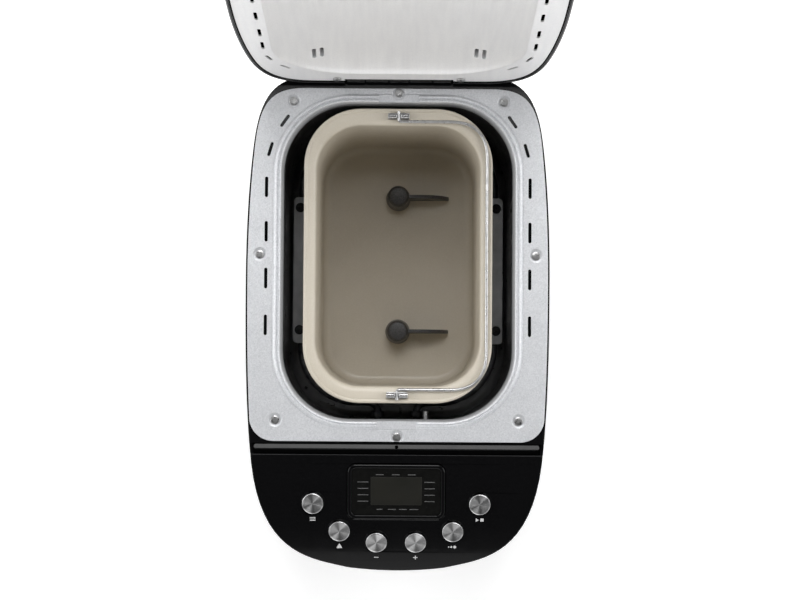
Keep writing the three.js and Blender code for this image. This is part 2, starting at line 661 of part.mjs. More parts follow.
function lidLiner() {
  const flangeZ = -3.9;
  const flange = prism(mirrored(LID_OUTLINE, 3.2), [flangeZ, flangeZ + SHEET]);
  const round = 8;
  const dome = roundedPrism(roundRect(RECESS, -SHEET), [flangeZ - 30, RECESS_Z + SHEET], round, 3);
  const hollow = roundedPrism(roundRect(RECESS), [flangeZ - 30, RECESS_Z], round, 3);
  const below = block([-200, 200], [-200, 200], [-80, flangeZ]);
  const { y: ventY, length: ventLength, width: ventWidth } = LID_VENT;
  const vents = LID_VENT_X.map((x) => slotCutter(x, ventY, 0, ventLength, ventWidth, [-2, 40]));
  const edge = LID_SLOTS.flatMap(([x, y, lean, length]) => [
    slotCutter(x, y, lean, length, SLOT_W, [-10, 5]), slotCutter(-x, y, -lean, length, SLOT_W, [-10, 5])]);
  const screws = LID_SCREWS.map(([x, y]) => circleHole(x, y, 2, 8).translate(0, 0, -200));
  const notch = block([-44.5, 44.5], [HINGE.y - 6.2, HINGE.y + 5], [-20, 6]);
  return toHinge(cut(join(flange, dome), below, hollow, notch, ...vents, ...edge, ...screws));
}

const KNUCKLES = { base: [[-43, -28], [-8, 8], [28, 43]], leaf: [[-27.5, -8.5], [8.5, 27.5]] };

function barrel(x, radius, sides = 14) {
  return rod(radius, x, [0, 0], sides).rotateY(Math.PI / 2);
}

function hingeBase() {
  const low = DECK_Z + GAP - HINGE.z;
  const knuckles = KNUCKLES.base.map((x) => join(barrel(x, 4.6), block(x, [-4.6, 1.8], [low, -1])));
  return cut(join(block([-43, 43], [-4.6, 1.8], [low, low + 2.2]), ...knuckles), barrel([-50, 50], 2.3, 12));
}

function hingeLeaf() {
  const plate = block([-40, 40], [-8.8, -6.6], [0.6, 20]);
  const arms = KNUCKLES.leaf.map((x) => join(barrel(x, 4.4), block(x, [-8, -1], [0.6, 4.4])));
  return cut(join(plate, ...arms), barrel([-50, 50], 2.3, 12));
}

// ---------------------------------------------------------------- assembly

const machine = new THREE.Group();
machine.name = 'bread_machine';
machine.position.y = SHIFT_Y;

function add(name, geometry, material, parent = machine, position = [0, 0, 0]) {
  const mesh = new THREE.Mesh(geometry, MATERIAL[material]);
  mesh.name = name;
  mesh.position.set(...position);
  parent.add(mesh);
  return mesh;
}

add('housing_shell', housingShell(), 'gloss');
add('base_plate', basePlate(), 'matt');
const FEET = {
  front_left: [-85, -200], front_right: [85, -200], rear_left: [-90, 118], rear_right: [90, 118],
};
for (const [place, [x, y]] of Object.entries(FEET)) {
  add(`foot_${place}`, foot(), 'rubber', machine, [x, y, 0]);
}
add('cable_gland', cableGland(), 'matt', machine, [-60, BACK_Y + GAP, 34]);
add('top_frame', topFrame(), 'silver');
FRAME_SCREWS.forEach(([x, y], i) => {
  add(`frame_screw_${i + 1}`, screw(6), 'steel', machine, [x, y, FRAME_Z]);
});
add('front_rail', frontRail(), 'gloss');
add('control_panel', controlPanel(), 'gloss');
add('display_bezel', displayBezel(), 'gloss');
add('display_lens', displayLens(), 'lens');
add('lcd_module', lcdModule(), 'lens');
add('control_board', controlBoard(), 'board');
BUTTONS.forEach(([x, y], i) => {
  const cap = add(`button_${i + 1}`, button(), 'button', machine, [x, y, panelHeight(y)]);
  cap.rotation.x = panelSlope(y);
});

add('baking_chamber', bakingChamber(), 'chamber');
add('heating_element', heatingElement(), 'element');
add('element_guard_left', elementGuard(-1), 'chamber');
add('element_guard_right', elementGuard(1), 'chamber');
add('temperature_sensor', temperatureSensor(), 'steel');
add('pan_seat', panSeat(), 'steel');

add('power_board', powerBoard(), 'board');
add('motor', motor(), 'matt', machine, [0, MOTOR_Y, 0]);
add('motor_pulley', motorPulley(), 'nylon', machine, [0, MOTOR_Y, 0]);
add('drive_belt', belt(MOTOR_Y, MOTOR_PULLEY_R, PADDLE_Y[0], DRIVEN_R, DRIVE_BELT_Z), 'belt');
add('front_pulley', frontPulley(), 'nylon', machine, [0, PADDLE_Y[0], 0]);
add('front_drive_shaft', driveShaft(18), 'steel', machine, [0, PADDLE_Y[0], 0]);
add('link_belt', belt(PADDLE_Y[0], LINK_R, PADDLE_Y[1], LINK_R, LINK_BELT_Z), 'belt');
add('rear_pulley', rearPulley(), 'nylon', machine, [0, PADDLE_Y[1], 0]);
add('rear_drive_shaft', driveShaft(18), 'steel', machine, [0, PADDLE_Y[1], 0]);

const LUG_Y = [-107, 123];
add('bread_pan', breadPan(), 'ceramic');
add('handle_lug_front', handleLug(), 'steel', machine, [0, LUG_Y[0], 0]);
add('handle_lug_rear', handleLug(), 'steel', machine, [0, LUG_Y[1], 0]);
add('pan_handle', panHandle(LUG_Y), 'steel');
['front', 'rear'].forEach((place, i) => {
  add(`pan_shaft_${place}`, panShaft(), 'steel', machine, [0, PADDLE_Y[i], 0]);
  add(`kneading_paddle_${place}`, kneadingPaddle(), 'matt', machine, [0, PADDLE_Y[i], 0]);
});

const atHinge = [0, HINGE.y, HINGE.z];
add('hinge_base', hingeBase(), 'gloss', machine, atHinge);
add('hinge_pin', barrel([-42, 42], 2, 12), 'steel', machine, atHinge);
const lid = new THREE.Group();
lid.position.set(...atHinge);
lid.rotation.x = THREE.MathUtils.degToRad(LID_OPEN);
machine.add(lid);
add('lid_outer', lidOuter(), 'gloss', lid);
add('lid_liner', lidLiner(), 'silver', lid);
add('hinge_leaf', hingeLeaf(), 'gloss', lid);
LID_SCREWS.forEach(([x, y], i) => {
  const side = ['left', 'right'][i];
  const fastener = add(`lid_screw_${side}`, screw(5), 'steel', lid, [x, y - HINGE.y, -3.9]);
  fastener.rotation.x = Math.PI;
});

export default machine;
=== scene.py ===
"""Bread machine with its lid open, seen from straight above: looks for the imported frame."""
import json
import math
import random

import bmesh
import bpy
from mathutils import Matrix, Vector


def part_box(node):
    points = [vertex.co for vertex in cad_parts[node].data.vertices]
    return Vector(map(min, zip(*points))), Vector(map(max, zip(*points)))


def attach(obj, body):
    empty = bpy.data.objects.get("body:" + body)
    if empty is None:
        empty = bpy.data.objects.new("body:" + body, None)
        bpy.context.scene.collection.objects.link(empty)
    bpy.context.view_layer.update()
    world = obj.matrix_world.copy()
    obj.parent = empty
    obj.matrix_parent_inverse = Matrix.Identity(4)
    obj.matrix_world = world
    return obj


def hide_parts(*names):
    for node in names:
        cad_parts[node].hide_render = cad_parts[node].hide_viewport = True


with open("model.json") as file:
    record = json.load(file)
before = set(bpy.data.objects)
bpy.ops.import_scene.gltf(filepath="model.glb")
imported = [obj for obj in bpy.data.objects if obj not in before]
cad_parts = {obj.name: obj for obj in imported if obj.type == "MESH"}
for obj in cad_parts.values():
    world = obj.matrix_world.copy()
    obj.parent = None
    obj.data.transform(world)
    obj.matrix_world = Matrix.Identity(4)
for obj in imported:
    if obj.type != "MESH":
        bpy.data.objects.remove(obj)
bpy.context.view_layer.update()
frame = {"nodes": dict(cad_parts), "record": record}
RNG = random.Random(7)
MM = 0.001


# ---------------------------------------------------------------- measures from the frame

def corners(node):
    """Lowest and highest corner of a CAD node, in metres."""
    low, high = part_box(node)
    return Vector(low), Vector(high)


def middle(node):
    low, high = corners(node)
    return (low + high) / 2


JOINTS = {j["name"]: j for j in frame["record"]["behaviour"]["joints"]}
# Pieces are drawn about the middle of the top frame, a little behind the frame's own origin.
DRAWN_FRONT = 0.2534
SHIFT = Matrix.Translation((0, corners("housing_shell")[0].y + DRAWN_FRONT, 0))
HINGE = SHIFT.inverted() @ Vector(JOINTS["lid_hinge"]["pos_m"])
LID_OPEN = math.radians(JOINTS["lid_hinge"]["range_deg"][0])

# Plan outlines: right half from the middle of the back to the middle of the front, in
# millimetres. Two numbers end a line, four a quadratic curve and six a cubic curve.
BODY_OUTLINE = [
    (0, 156), (66, 156), (92, 156, 112.6, 151.2, 118.8, 104), (123, 72, 125, 30, 125, -10),
    (125, -60, 124.5, -105, 120.8, -148), (115.4, -240, 73.3, -243.1, 40, -250.8), (20, -253.4, 0, -253.4),
]
PLATE_OUTLINE = [
    (0, 145.6), (75.7, 145.6), (101.7, 145.6, 113, 137.2, 117.4, 104), (121.2, 72, 123.4, 30, 123.4, -10),
    (123.4, -60, 122.5, -95, 120.8, -126), (120.6, -136.5, 112, -145, 101, -145), (0, -145),
]
LID_OUTLINE = [
    (0, 155.5), (66, 155.5), (92, 155.5, 109.5, 146, 117.1, 101), (122, 70, 124.4, 30, 124.6, -10),
    (124.6, -60, 123.6, -95, 122.6, -122), (122, -136, 112.5, -147, 98, -147), (0, -147),
]
# Rounded rectangles: half width, half length, corner radius and middle in Y, millimetres.
OPENING = (95.8, 130.9, 57, 2.9)
CHAMBER = (97.8, 133.9, 59, 2.9)
RECESS = (97, 130.3, 62, 1.2)
PAN_RIM = (77.8, 121.5, 47, 7.9)
PAN_BODY = (68.6, 108.7, 38, 7.9)
DECK_Z, FRAME_Z, PAN_Z = 238.2, 240.0, 236.0
HINGE_Y, HINGE_Z = 154, 246
SHEET = 1.2
SLOT_WIDTH = 2.7
PADDLE_Y = (-52.1, 67.9)
PANEL_R, PANEL_START, PANEL_BACK_Y, PANEL_TOP_Z = 240, math.radians(3), -155.5, 236.5
DISPLAY_Y = -186.5
FRAME_SCREWS = [f"frame_screw_{i}" for i in range(1, 9)]
BUTTONS = [f"button_{i}" for i in range(1, 7)]
BUTTON_AT = [(-68.7, -196), (-46.8, -219), (-16.2, -228.3), (16.2, -228.3), (46.8, -219), (68.7, -196)]


# ---------------------------------------------------------------- outlines

def bezier(points, t):
    points = [Vector(p) for p in points]
    while len(points) > 1:
        points = [a.lerp(b, t) for a, b in zip(points, points[1:])]
    return points[0]


def outline(steps, divisions=18):
    """The closed outline mirrored from its right half, as 2D points in millimetres."""
    right = [Vector(steps[0])]
    for step in steps[1:]:
        ends = [right[-1]] + [Vector(step[i:i + 2]) for i in range(0, len(step), 2)]
        count = divisions if len(step) > 2 else 4
        right += [bezier(ends, i / count) for i in range(1, count + 1)]
    left = [Vector((-p.x, p.y)) for p in reversed(right[1:-1])]
    return right + left


def moved_in(points, inset):
    """The outline moved inward along its own normals."""
    made = []
    for i, p in enumerate(points):
        one = (p - points[i - 1]).normalized()
        two = (points[(i + 1) % len(points)] - p).normalized()
        along = (one + two).normalized()
        reach = inset / max(along.dot(one), 0.5)
        made.append(Vector((p.x + along.y * reach, p.y - along.x * reach)))
    return made


def round_rect(shape, inset=0, arc=14, straight=6):
    """A rounded rectangle, going clockwise from the middle of the back, moved inward by inset."""
    hx, hy, r, cy = shape
    hx, hy, r = hx - inset, hy - inset, max(r - inset, 0.8)
    points = []
    for quarter in range(4):
        start = math.pi / 2 - quarter * math.pi / 2
        sx, sy = (1, 1, -1, -1)[quarter], (1, -1, -1, 1)[quarter]
        for k in range(arc + 1):
            a = start - k / arc * math.pi / 2
            points.append(Vector((sx * (hx - r) + r * math.cos(a), cy + sy * (hy - r) + r * math.sin(a))))
        a = start - math.pi / 2
        nx, ny = (1, -1, -1, 1)[quarter], (-1, -1, 1, 1)[quarter]
        end = Vector((nx * (hx - r) + r * math.cos(a), cy + ny * (hy - r) + r * math.sin(a)))
        points += [points[-1].lerp(end, k / straight) for k in range(1, straight)]
    return points


# ---------------------------------------------------------------- meshes

def new_object(name, mesh_data):
    obj = bpy.data.objects.new(name, mesh_data)
    bpy.context.scene.collection.objects.link(obj)
    return obj


def from_bmesh(name, bm, angle=35):
    """Makes the object, smooth but for edges sharper than the angle in degrees."""
    bmesh.ops.remove_doubles(bm, verts=bm.verts, dist=1e-6)
    bmesh.ops.recalc_face_normals(bm, faces=bm.faces)
    for face in bm.faces:
        face.smooth = True
    for edge in bm.edges:
        if len(edge.link_faces) == 2:
            edge.smooth = edge.calc_face_angle(0) < math.radians(angle)
    data = bpy.data.meshes.new(name)
    bm.to_mesh(data)
    bm.free()
    return new_object(name, data)


def add_loft(bm, rings, closed=False, first_cap=False, last_cap=False):
    """Joins rings of equally many 3D points, given in millimetres."""
    loops = [[bm.verts.new(Vector(p) * MM) for p in ring] for ring in rings]
    pairs = list(zip(loops, loops[1:]))
    if closed:
        pairs.append((loops[-1], loops[0]))
    for one, two in pairs:
        for i in range(len(one)):
            j = (i + 1) % len(one)
            bm.faces.new((one[i], one[j], two[j], two[i]))
    if first_cap:
        bm.faces.new(loops[0])
    if last_cap:
        bm.faces.new(loops[-1])


def loft(name, rings, angle=35, **options):
    bm = bmesh.new()
    add_loft(bm, rings, **options)
    return from_bmesh(name, bm, angle)


def at_height(points, z):
    return [(p.x, p.y, z) for p in points]


def prism(name, points, low, high, angle=35):
    return loft(name, [at_height(points, low), at_height(points, high)], angle,
                first_cap=True, last_cap=True)


def turned(name, profile, sides=64, centre=(0, 0), angle=35):
    """A turned piece about Z: the profile lists (radius, height) in millimetres."""
    rings = []
    for r, z in profile:
        r = max(r, 0.001)
        rings.append([(centre[0] + r * math.cos(2 * math.pi * k / sides),
                       centre[1] + r * math.sin(2 * math.pi * k / sides), z) for k in range(sides)])
    return loft(name, rings, angle, first_cap=True, last_cap=True)


def block(name, x, y, z):
    bm = bmesh.new()
    verts = [bm.verts.new(Vector((a, b, c)) * MM) for c in z for a, b in
             ((x[0], y[0]), (x[1], y[0]), (x[1], y[1]), (x[0], y[1]))]
    for face in ((0, 3, 2, 1), (4, 5, 6, 7), (0, 1, 5, 4), (1, 2, 6, 5), (2, 3, 7, 6), (3, 0, 4, 7)):
        bm.faces.new([verts[i] for i in face])
    return from_bmesh(name, bm)


def tube(name, points, radius, sides=12, ends=True):
    """A round wire through the points, in millimetres."""
    points = [Vector(p) for p in points]
    rings = []
    side = None
    for i, p in enumerate(points):
        along = (points[min(i + 1, len(points) - 1)] - points[max(i - 1, 0)]).normalized()
        if side is None:
            side = along.orthogonal().normalized()
        side = (side - along * side.dot(along)).normalized()
        other = along.cross(side)
        rings.append([p + radius * (math.cos(a) * side + math.sin(a) * other)
                      for a in (2 * math.pi * k / sides for k in range(sides))])
    return loft(name, rings, 50, first_cap=ends, last_cap=ends)


def boolean(obj, tools, operation="DIFFERENCE"):
    """Cuts the object by the tools, or joins them, and keeps only the result."""
    for tool in tools:
        change = obj.modifiers.new("cut", "BOOLEAN")
        change.operation = operation
        change.object = tool
        change.solver = "MANIFOLD"
    bpy.context.view_layer.update()
    shape = bpy.data.meshes.new_from_object(obj.evaluated_get(bpy.context.evaluated_depsgraph_get()))
    obj.modifiers.clear()
    obj.data = shape
    for tool in tools:
        bpy.data.objects.remove(tool)
    return obj


def joined(name, objects):
    """One object holding the meshes of several, with their places applied."""
    bm = bmesh.new()
    for obj in objects:
        part = obj.data.copy()
        part.transform(obj.matrix_world)
        bm.from_mesh(part)
        bpy.data.objects.remove(obj)
    data = bpy.data.meshes.new(name)
    bm.to_mesh(data)
    bm.free()
    return new_object(name, data)


def turn_about_hinge(obj):
    """Takes a piece drawn with the lid closed to where the open lid holds it."""
    place = Matrix.Translation(HINGE) @ Matrix.Rotation(LID_OPEN, 4, "X") @ Matrix.Translation(-HINGE)
    obj.data.transform(place)
    return obj


def finish_piece(obj, material, body, slot, *nodes):
    """Moves a piece to the frame's origin, ties it to its body and hides the CAD nodes it stands for. The
    slot argument is not used.
    """
    if obj.matrix_world == Matrix.Identity(4):
        obj.data.transform(SHIFT)
    obj.data.materials.clear()
    obj.data.materials.append(material)
    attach(obj, body)
    if nodes:
        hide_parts(*nodes)
    return obj


# ---------------------------------------------------------------- control panel surface

PANEL_CY = PANEL_BACK_Y + PANEL_R * math.sin(PANEL_START)
PANEL_CZ = PANEL_TOP_Z - PANEL_R * math.cos(PANEL_START)


def panel_slope(y):
    return math.asin((PANEL_CY - y) / PANEL_R)


def panel_height(y, offset=0.0):
    return PANEL_CZ + (PANEL_R + offset) * math.cos(panel_slope(y))


def on_panel(obj, x, y):
    """Stands a piece drawn about the Z axis square on the panel."""
    lift = Matrix.Translation(Vector((x, y, panel_height(y))) * MM)
    obj.data.transform(lift @ Matrix.Rotation(panel_slope(y), 4, "X"))
    return obj


def panel_slab(name, low, high, steps=40):
    """A slab across the machine between two offsets from the panel surface."""
    path = []
    for offset, order in ((high, range(steps + 1)), (low, range(steps, -1, -1))):
        for i in order:
            slope = panel_slope(PANEL_BACK_Y - 105 * i / steps)
            path.append((PANEL_CY - (PANEL_R + offset) * math.sin(slope),
                         PANEL_CZ + (PANEL_R + offset) * math.cos(slope)))
    rings = [[(x, y, z) for y, z in path] for x in (-135, 135)]
    return loft(name, rings, first_cap=True, last_cap=True)


# ---------------------------------------------------------------- materials

class Look:
    """A principled material with its nodes at hand."""

    def __init__(self, name, colour, roughness, metallic=0.0, **settings):
        self.material = bpy.data.materials.new(name)
        self.material.use_nodes = True
        self.nodes = self.material.node_tree.nodes
        self.links = self.material.node_tree.links
        self.shader = self.nodes["Principled BSDF"]
        self.shader.inputs["Base Color"].default_value = (*colour, 1)
        self.shader.inputs["Roughness"].default_value = roughness
        self.shader.inputs["Metallic"].default_value = metallic
        for key, value in settings.items():
            self.shader.inputs[key.replace("_", " ")].default_value = value
        self.place = self.nodes.new("ShaderNodeTexCoord").outputs["Object"]
        self.bumped = None

    def noise(self, scale, detail=3.0, stretch=None, roughness=0.55):
        node = self.nodes.new("ShaderNodeTexNoise")
        node.inputs["Scale"].default_value = scale
        node.inputs["Detail"].default_value = detail
        node.inputs["Roughness"].default_value = roughness
        place = self.place
        if stretch:
            mapping = self.nodes.new("ShaderNodeMapping")
            mapping.inputs["Scale"].default_value = stretch
            self.links.new(place, mapping.inputs["Vector"])
            place = mapping.outputs["Vector"]
        self.links.new(place, node.inputs["Vector"])
        return node.outputs["Fac"]

    def cells(self, scale):
        node = self.nodes.new("ShaderNodeTexVoronoi")
        node.inputs["Scale"].default_value = scale
        self.links.new(self.place, node.inputs["Vector"])
        return node.outputs["Color"]

    def spread(self, source, low, high, start=0.3, stop=0.7):
        """Maps a texture between two values."""
        node = self.nodes.new("ShaderNodeMapRange")
        for key, value in (("From Min", start), ("From Max", stop), ("To Min", low), ("To Max", high)):
            node.inputs[key].default_value = value
        self.links.new(source, node.inputs["Value"])
        return node.outputs["Result"]

    def colours(self, source, one, two, start=0.3, stop=0.7):
        node = self.nodes.new("ShaderNodeValToRGB")
        node.color_ramp.elements[0].position = start
        node.color_ramp.elements[1].position = stop
        node.color_ramp.elements[0].color = (*one, 1)
        node.color_ramp.elements[1].color = (*two, 1)
        self.links.new(source, node.inputs["Fac"])
        return node.outputs["Color"]

    def blend(self, factor, one, two):
        """Mixes two colour outputs by a factor output."""
        node = self.nodes.new("ShaderNodeMix")
        node.data_type = "RGBA"
        self.links.new(factor, node.inputs["Factor"])
        self.links.new(one, node.inputs[6])
        self.links.new(two, node.inputs[7])
        return node.outputs[2]

    def colour(self, source):
        self.links.new(source, self.shader.inputs["Base Color"])

    def roughness(self, source):
        self.links.new(source, self.shader.inputs["Roughness"])

    def bump(self, source, strength, distance=0.1):
        node = self.nodes.new("ShaderNodeBump")
        node.inputs["Strength"].default_value = strength
        node.inputs["Distance"].default_value = distance * MM
        self.links.new(source, node.inputs["Height"])
        if self.bumped:
            self.links.new(self.bumped, node.inputs["Normal"])
        self.bumped = node.outputs["Normal"]
        self.links.new(self.bumped, self.shader.inputs["Normal"])


def gloss_black():
    look = Look("gloss_black", (0.003, 0.003, 0.0033), 0.12, Specular_IOR_Level=0.22)
    look.roughness(look.spread(look.noise(60, 4), 0.07, 0.17))
    look.bump(look.noise(35, 2), 0.04, 0.4)
    look.colour(look.colours(look.noise(900, 2), (0.0022, 0.0022, 0.0025), (0.0042, 0.0042, 0.0046)))
    return look.material


def matt_black():
    look = Look("matt_black", (0.02, 0.02, 0.021), 0.6)
    look.roughness(look.spread(look.noise(400, 4), 0.5, 0.72))
    look.colour(look.colours(look.noise(700, 3), (0.014, 0.014, 0.015), (0.028, 0.028, 0.029)))
    look.bump(look.noise(1500, 3), 0.35, 0.08)
    return look.material


def rubber():
    look = Look("feet_rubber", (0.018, 0.018, 0.018), 0.85)
    look.colour(look.colours(look.noise(250, 4), (0.012, 0.012, 0.012), (0.03, 0.03, 0.03)))
    look.bump(look.noise(900, 2), 0.4, 0.1)
    return look.material


def silver_paint():
    look = Look("silver_paint", (0.62, 0.63, 0.64), 0.42, 0.45)
    flakes = look.colours(look.cells(1100), (0.46, 0.47, 0.49), (0.8, 0.81, 0.83), 0.1, 0.9)
    base = look.colours(look.noise(30, 2), (0.6, 0.61, 0.63), (0.66, 0.67, 0.69))
    grain = look.spread(look.noise(900, 3), 0.1, 0.6)
    look.colour(look.blend(grain, base, flakes))
    look.roughness(look.spread(look.noise(1500, 3), 0.38, 0.5))
    look.bump(look.noise(1600, 2), 0.16, 0.04)
    return look.material


def lid_lining_metal():
    look = Look("lid_lining_metal", (0.88, 0.88, 0.88), 0.46, 0.3)
    streaks = look.noise(260, 4, (1, 0.08, 0.08))
    flakes = look.colours(look.cells(1300), (0.78, 0.78, 0.79), (0.94, 0.94, 0.94), 0.1, 0.9)
    base = look.colours(streaks, (0.84, 0.84, 0.85), (0.9, 0.9, 0.9))
    look.colour(look.blend(look.spread(look.noise(800, 3), 0.0, 0.45), base, flakes))
    look.roughness(look.spread(streaks, 0.42, 0.52))
    look.bump(look.noise(1500, 2), 0.1, 0.04)
    return look.material


def bright_steel():
    look = Look("bright_steel", (0.5, 0.5, 0.5), 0.3, 1.0)
    look.colour(look.colours(look.noise(180, 3), (0.42, 0.42, 0.42), (0.56, 0.56, 0.56)))
    look.roughness(look.spread(look.noise(260, 3), 0.24, 0.38))
    return look.material


def spun_metal_painted_highlights():
    look = Look("spun_metal_painted_highlights", (0.72, 0.72, 0.73), 0.3, 1.0, Anisotropic=0.85)
    tangent = look.nodes.new("ShaderNodeTangent")
    tangent.direction_type = "RADIAL"
    tangent.axis = "Z"
    look.links.new(tangent.outputs["Tangent"], look.shader.inputs["Tangent"])
    look.roughness(look.spread(look.noise(900, 3), 0.3, 0.42))
    # Painted highlights and painted shade: light and dark sectors about the middle stand in for the conic
    # reflections that turned metal shows under lamps.
    angle = look.nodes.new("ShaderNodeTexGradient")
    angle.gradient_type = "RADIAL"
    look.links.new(look.place, angle.inputs["Vector"])
    painted_highlight_wedges = look.nodes.new("ShaderNodeValToRGB")
    painted_highlight_wedges.color_ramp.interpolation = "EASE"
    stops = painted_highlight_wedges.color_ramp.elements
    for position, level in ((0.07, 0.2), (0.13, 0.85), (0.2, 0.95), (0.27, 0.22), (0.36, 0.3), (0.44, 0.55),
                            (0.5, 0.2), (0.6, 0.22), (0.66, 0.9), (0.72, 0.9), (0.79, 0.2), (0.93, 0.6)):
        stops.new(position).color = (level, level, level, 1)
    stops[0].color = (0.45, 0.45, 0.45, 1)
    stops[-1].color = (0.45, 0.45, 0.45, 1)
    look.links.new(angle.outputs["Fac"], painted_highlight_wedges.inputs["Fac"])
    grain = look.colours(look.noise(500, 3), (0.5, 0.5, 0.51), (0.66, 0.66, 0.67))
    amount = look.spread(look.noise(700, 2), 0.15, 0.35)
    # Base colour: mostly the painted highlight and shade sectors, with some grain mixed in.
    look.colour(look.blend(amount, painted_highlight_wedges.outputs["Color"], grain))
    return look.material


def ceramic():
    look = Look("pan_ceramic", (0.6, 0.57, 0.5), 0.42, Coat_Weight=0.15, Coat_Roughness=0.3)
    broad = look.colours(look.noise(14, 3), (0.53, 0.48, 0.39), (0.59, 0.54, 0.45))
    specks = look.colours(look.noise(1100, 2), (0.45, 0.41, 0.33), (0.61, 0.56, 0.48), 0.25, 0.5)
    look.colour(look.blend(look.spread(look.noise(600, 2), 0.0, 0.5), broad, specks))
    look.roughness(look.spread(look.noise(200, 4), 0.34, 0.52))
    look.bump(look.noise(700, 3), 0.15, 0.06)
    return look.material


def chamber_enamel():
    look = Look("chamber_enamel", (0.3, 0.3, 0.305), 0.34, 0.6)
    look.colour(look.colours(look.noise(45, 4), (0.24, 0.243, 0.25), (0.36, 0.363, 0.37)))
    look.roughness(look.spread(look.noise(120, 4), 0.26, 0.42))
    look.bump(look.noise(900, 3), 0.2, 0.05)
    return look.material


def element_sheath():
    look = Look("element_sheath", (0.12, 0.125, 0.13), 0.42, 0.8)
    look.colour(look.colours(look.noise(90, 4), (0.07, 0.072, 0.08), (0.2, 0.2, 0.205)))
    look.roughness(look.spread(look.noise(300, 4), 0.34, 0.6))
    look.bump(look.noise(1200, 3), 0.3, 0.05)
    return look.material


def guard_steel():
    look = Look("guard_steel", (0.4, 0.41, 0.42), 0.42, 0.5)
    look.colour(look.colours(look.noise(60, 4), (0.34, 0.345, 0.35), (0.46, 0.465, 0.47)))
    look.roughness(look.spread(look.noise(260, 4), 0.3, 0.5))
    return look.material


def paddle_coating():
    look = Look("paddle_coating", (0.04, 0.04, 0.042), 0.42)
    look.colour(look.colours(look.noise(900, 3), (0.025, 0.025, 0.027), (0.07, 0.07, 0.072)))
    look.roughness(look.spread(look.noise(150, 4), 0.34, 0.5))
    look.bump(look.noise(800, 3), 0.2, 0.06)
    return look.material


def plain_plastic(name, dark, light, roughness=0.5):
    look = Look(name, dark, roughness)
    look.colour(look.colours(look.noise(220, 4), dark, light))
    look.roughness(look.spread(look.noise(300, 3), roughness - 0.08, roughness + 0.1))
    look.bump(look.noise(900, 2), 0.1, 0.05)
    return look.material


def display_film():
    look = Look("display_film", (0.012, 0.012, 0.01), 0.3)
    look.colour(look.colours(look.noise(40, 2), (0.011, 0.011, 0.009), (0.0145, 0.014, 0.0112)))
    look.roughness(look.spread(look.noise(60, 2), 0.28, 0.34))
    return look.material


def print_ink():
    look = Look("print_ink", (0.6, 0.6, 0.6), 0.5)
    look.colour(look.colours(look.noise(2500, 2), (0.5, 0.5, 0.5), (0.68, 0.68, 0.68)))
    return look.material


def lens_black():
    look = Look("lens_black", (0.004, 0.004, 0.004), 0.15)
    look.colour(look.colours(look.noise(200, 3), (0.003, 0.003, 0.0028), (0.0055, 0.0055, 0.005)))
    look.roughness(look.spread(look.noise(300, 3), 0.12, 0.2))
    return look.material


LOOKS = {
    "gloss_black": gloss_black(),
    "matte_black": matt_black(),
    "feet_rubber": rubber(),
    "silver_paint": silver_paint(),
    "bright_steel": bright_steel(),
    "button_metal": spun_metal_painted_highlights(),
    "display_window": display_film(),
    "circuit_board": plain_plastic("circuit_board", (0.015, 0.1, 0.04), (0.025, 0.16, 0.06)),
    "chamber_steel": chamber_enamel(),
    "element_sheath": element_sheath(),
    "motor_steel": plain_plastic("motor_steel", (0.08, 0.08, 0.082), (0.13, 0.13, 0.135), 0.45),
    "pulley_nylon": plain_plastic("pulley_nylon", (0.62, 0.6, 0.54), (0.72, 0.7, 0.64)),
    "belt_rubber": plain_plastic("belt_rubber", (0.015, 0.015, 0.015), (0.03, 0.03, 0.03), 0.8),
    "pan_coating": ceramic(),
    "paddle_coating": paddle_coating(),
}
LINER = lid_lining_metal()
GUARD = guard_steel()
INK = print_ink()
INK_DIM = plain_plastic("ink_dim", (0.06, 0.06, 0.06), (0.1, 0.1, 0.1), 0.5)
LENS = lens_black()

for part in frame["record"]["subparts"]:
    node = frame["nodes"][part["node"]]
    node.data.materials.clear()
    node.data.materials.append(LOOKS[part["material_slot"]])


# ---------------------------------------------------------------- building blocks

def slab(name, points, low, high, round_low=0.0, round_high=0.0, steps=4):
    """A prism over the outline with rounded lower and upper edges."""
    rings = []
    if round_low:
        for k in range(steps):
            a = math.pi / 2 * k / steps
            rings.append((round_low * (1 - math.sin(a)), low + round_low * (1 - math.cos(a))))
        rings.append((0, low + round_low))
    else:
        rings.append((0, low))
    if round_high:
        rings.append((0, high - round_high))
        for k in range(1, steps + 1):
            a = math.pi / 2 * k / steps
            rings.append((round_high * (1 - math.cos(a)), high - round_high * (1 - math.sin(a))))
    else:
        rings.append((0, high))
    return loft(name, [at_height(moved_in(points, inset), z) for inset, z in rings],
                first_cap=True, last_cap=True)


def shape_between(one, two, t):
    return tuple(a + (b - a) * t for a, b in zip(one, two))


def rect_loft(name, profile, angle=35, **options):
    """Lofts rounded rectangles: the profile lists (shape, inset, height)."""
    return loft(name, [at_height(round_rect(shape, inset), z) for shape, inset, z in profile],
                angle, **options)


def rounded_corner(centre, radius, start, stop, steps=5):
    """Points of an arc in a section, as (offset, height)."""
    return [(centre[0] + radius * math.cos(math.radians(start + (stop - start) * k / steps)),
             centre[1] + radius * math.sin(math.radians(start + (stop - start) * k / steps)))
            for k in range(steps + 1)]


def slot(x, y, lean, length, width, low, high):
    points = round_rect((width / 2, length / 2, width / 2, 0), arc=5, straight=2)
    obj = prism("slot", points, low, high)
    turn = Matrix.Rotation(math.radians(lean), 4, "Z")
    obj.data.transform(Matrix.Translation((x * MM, y * MM, 0)) @ turn)
    return obj


def slot_pairs(rows, width, low, high):
    made = []
    for x, y, lean, length in rows:
        made.append(slot(x, y, lean, length, width, low, high))
        made.append(slot(-x, y, -lean, length, width, low, high))
    return made


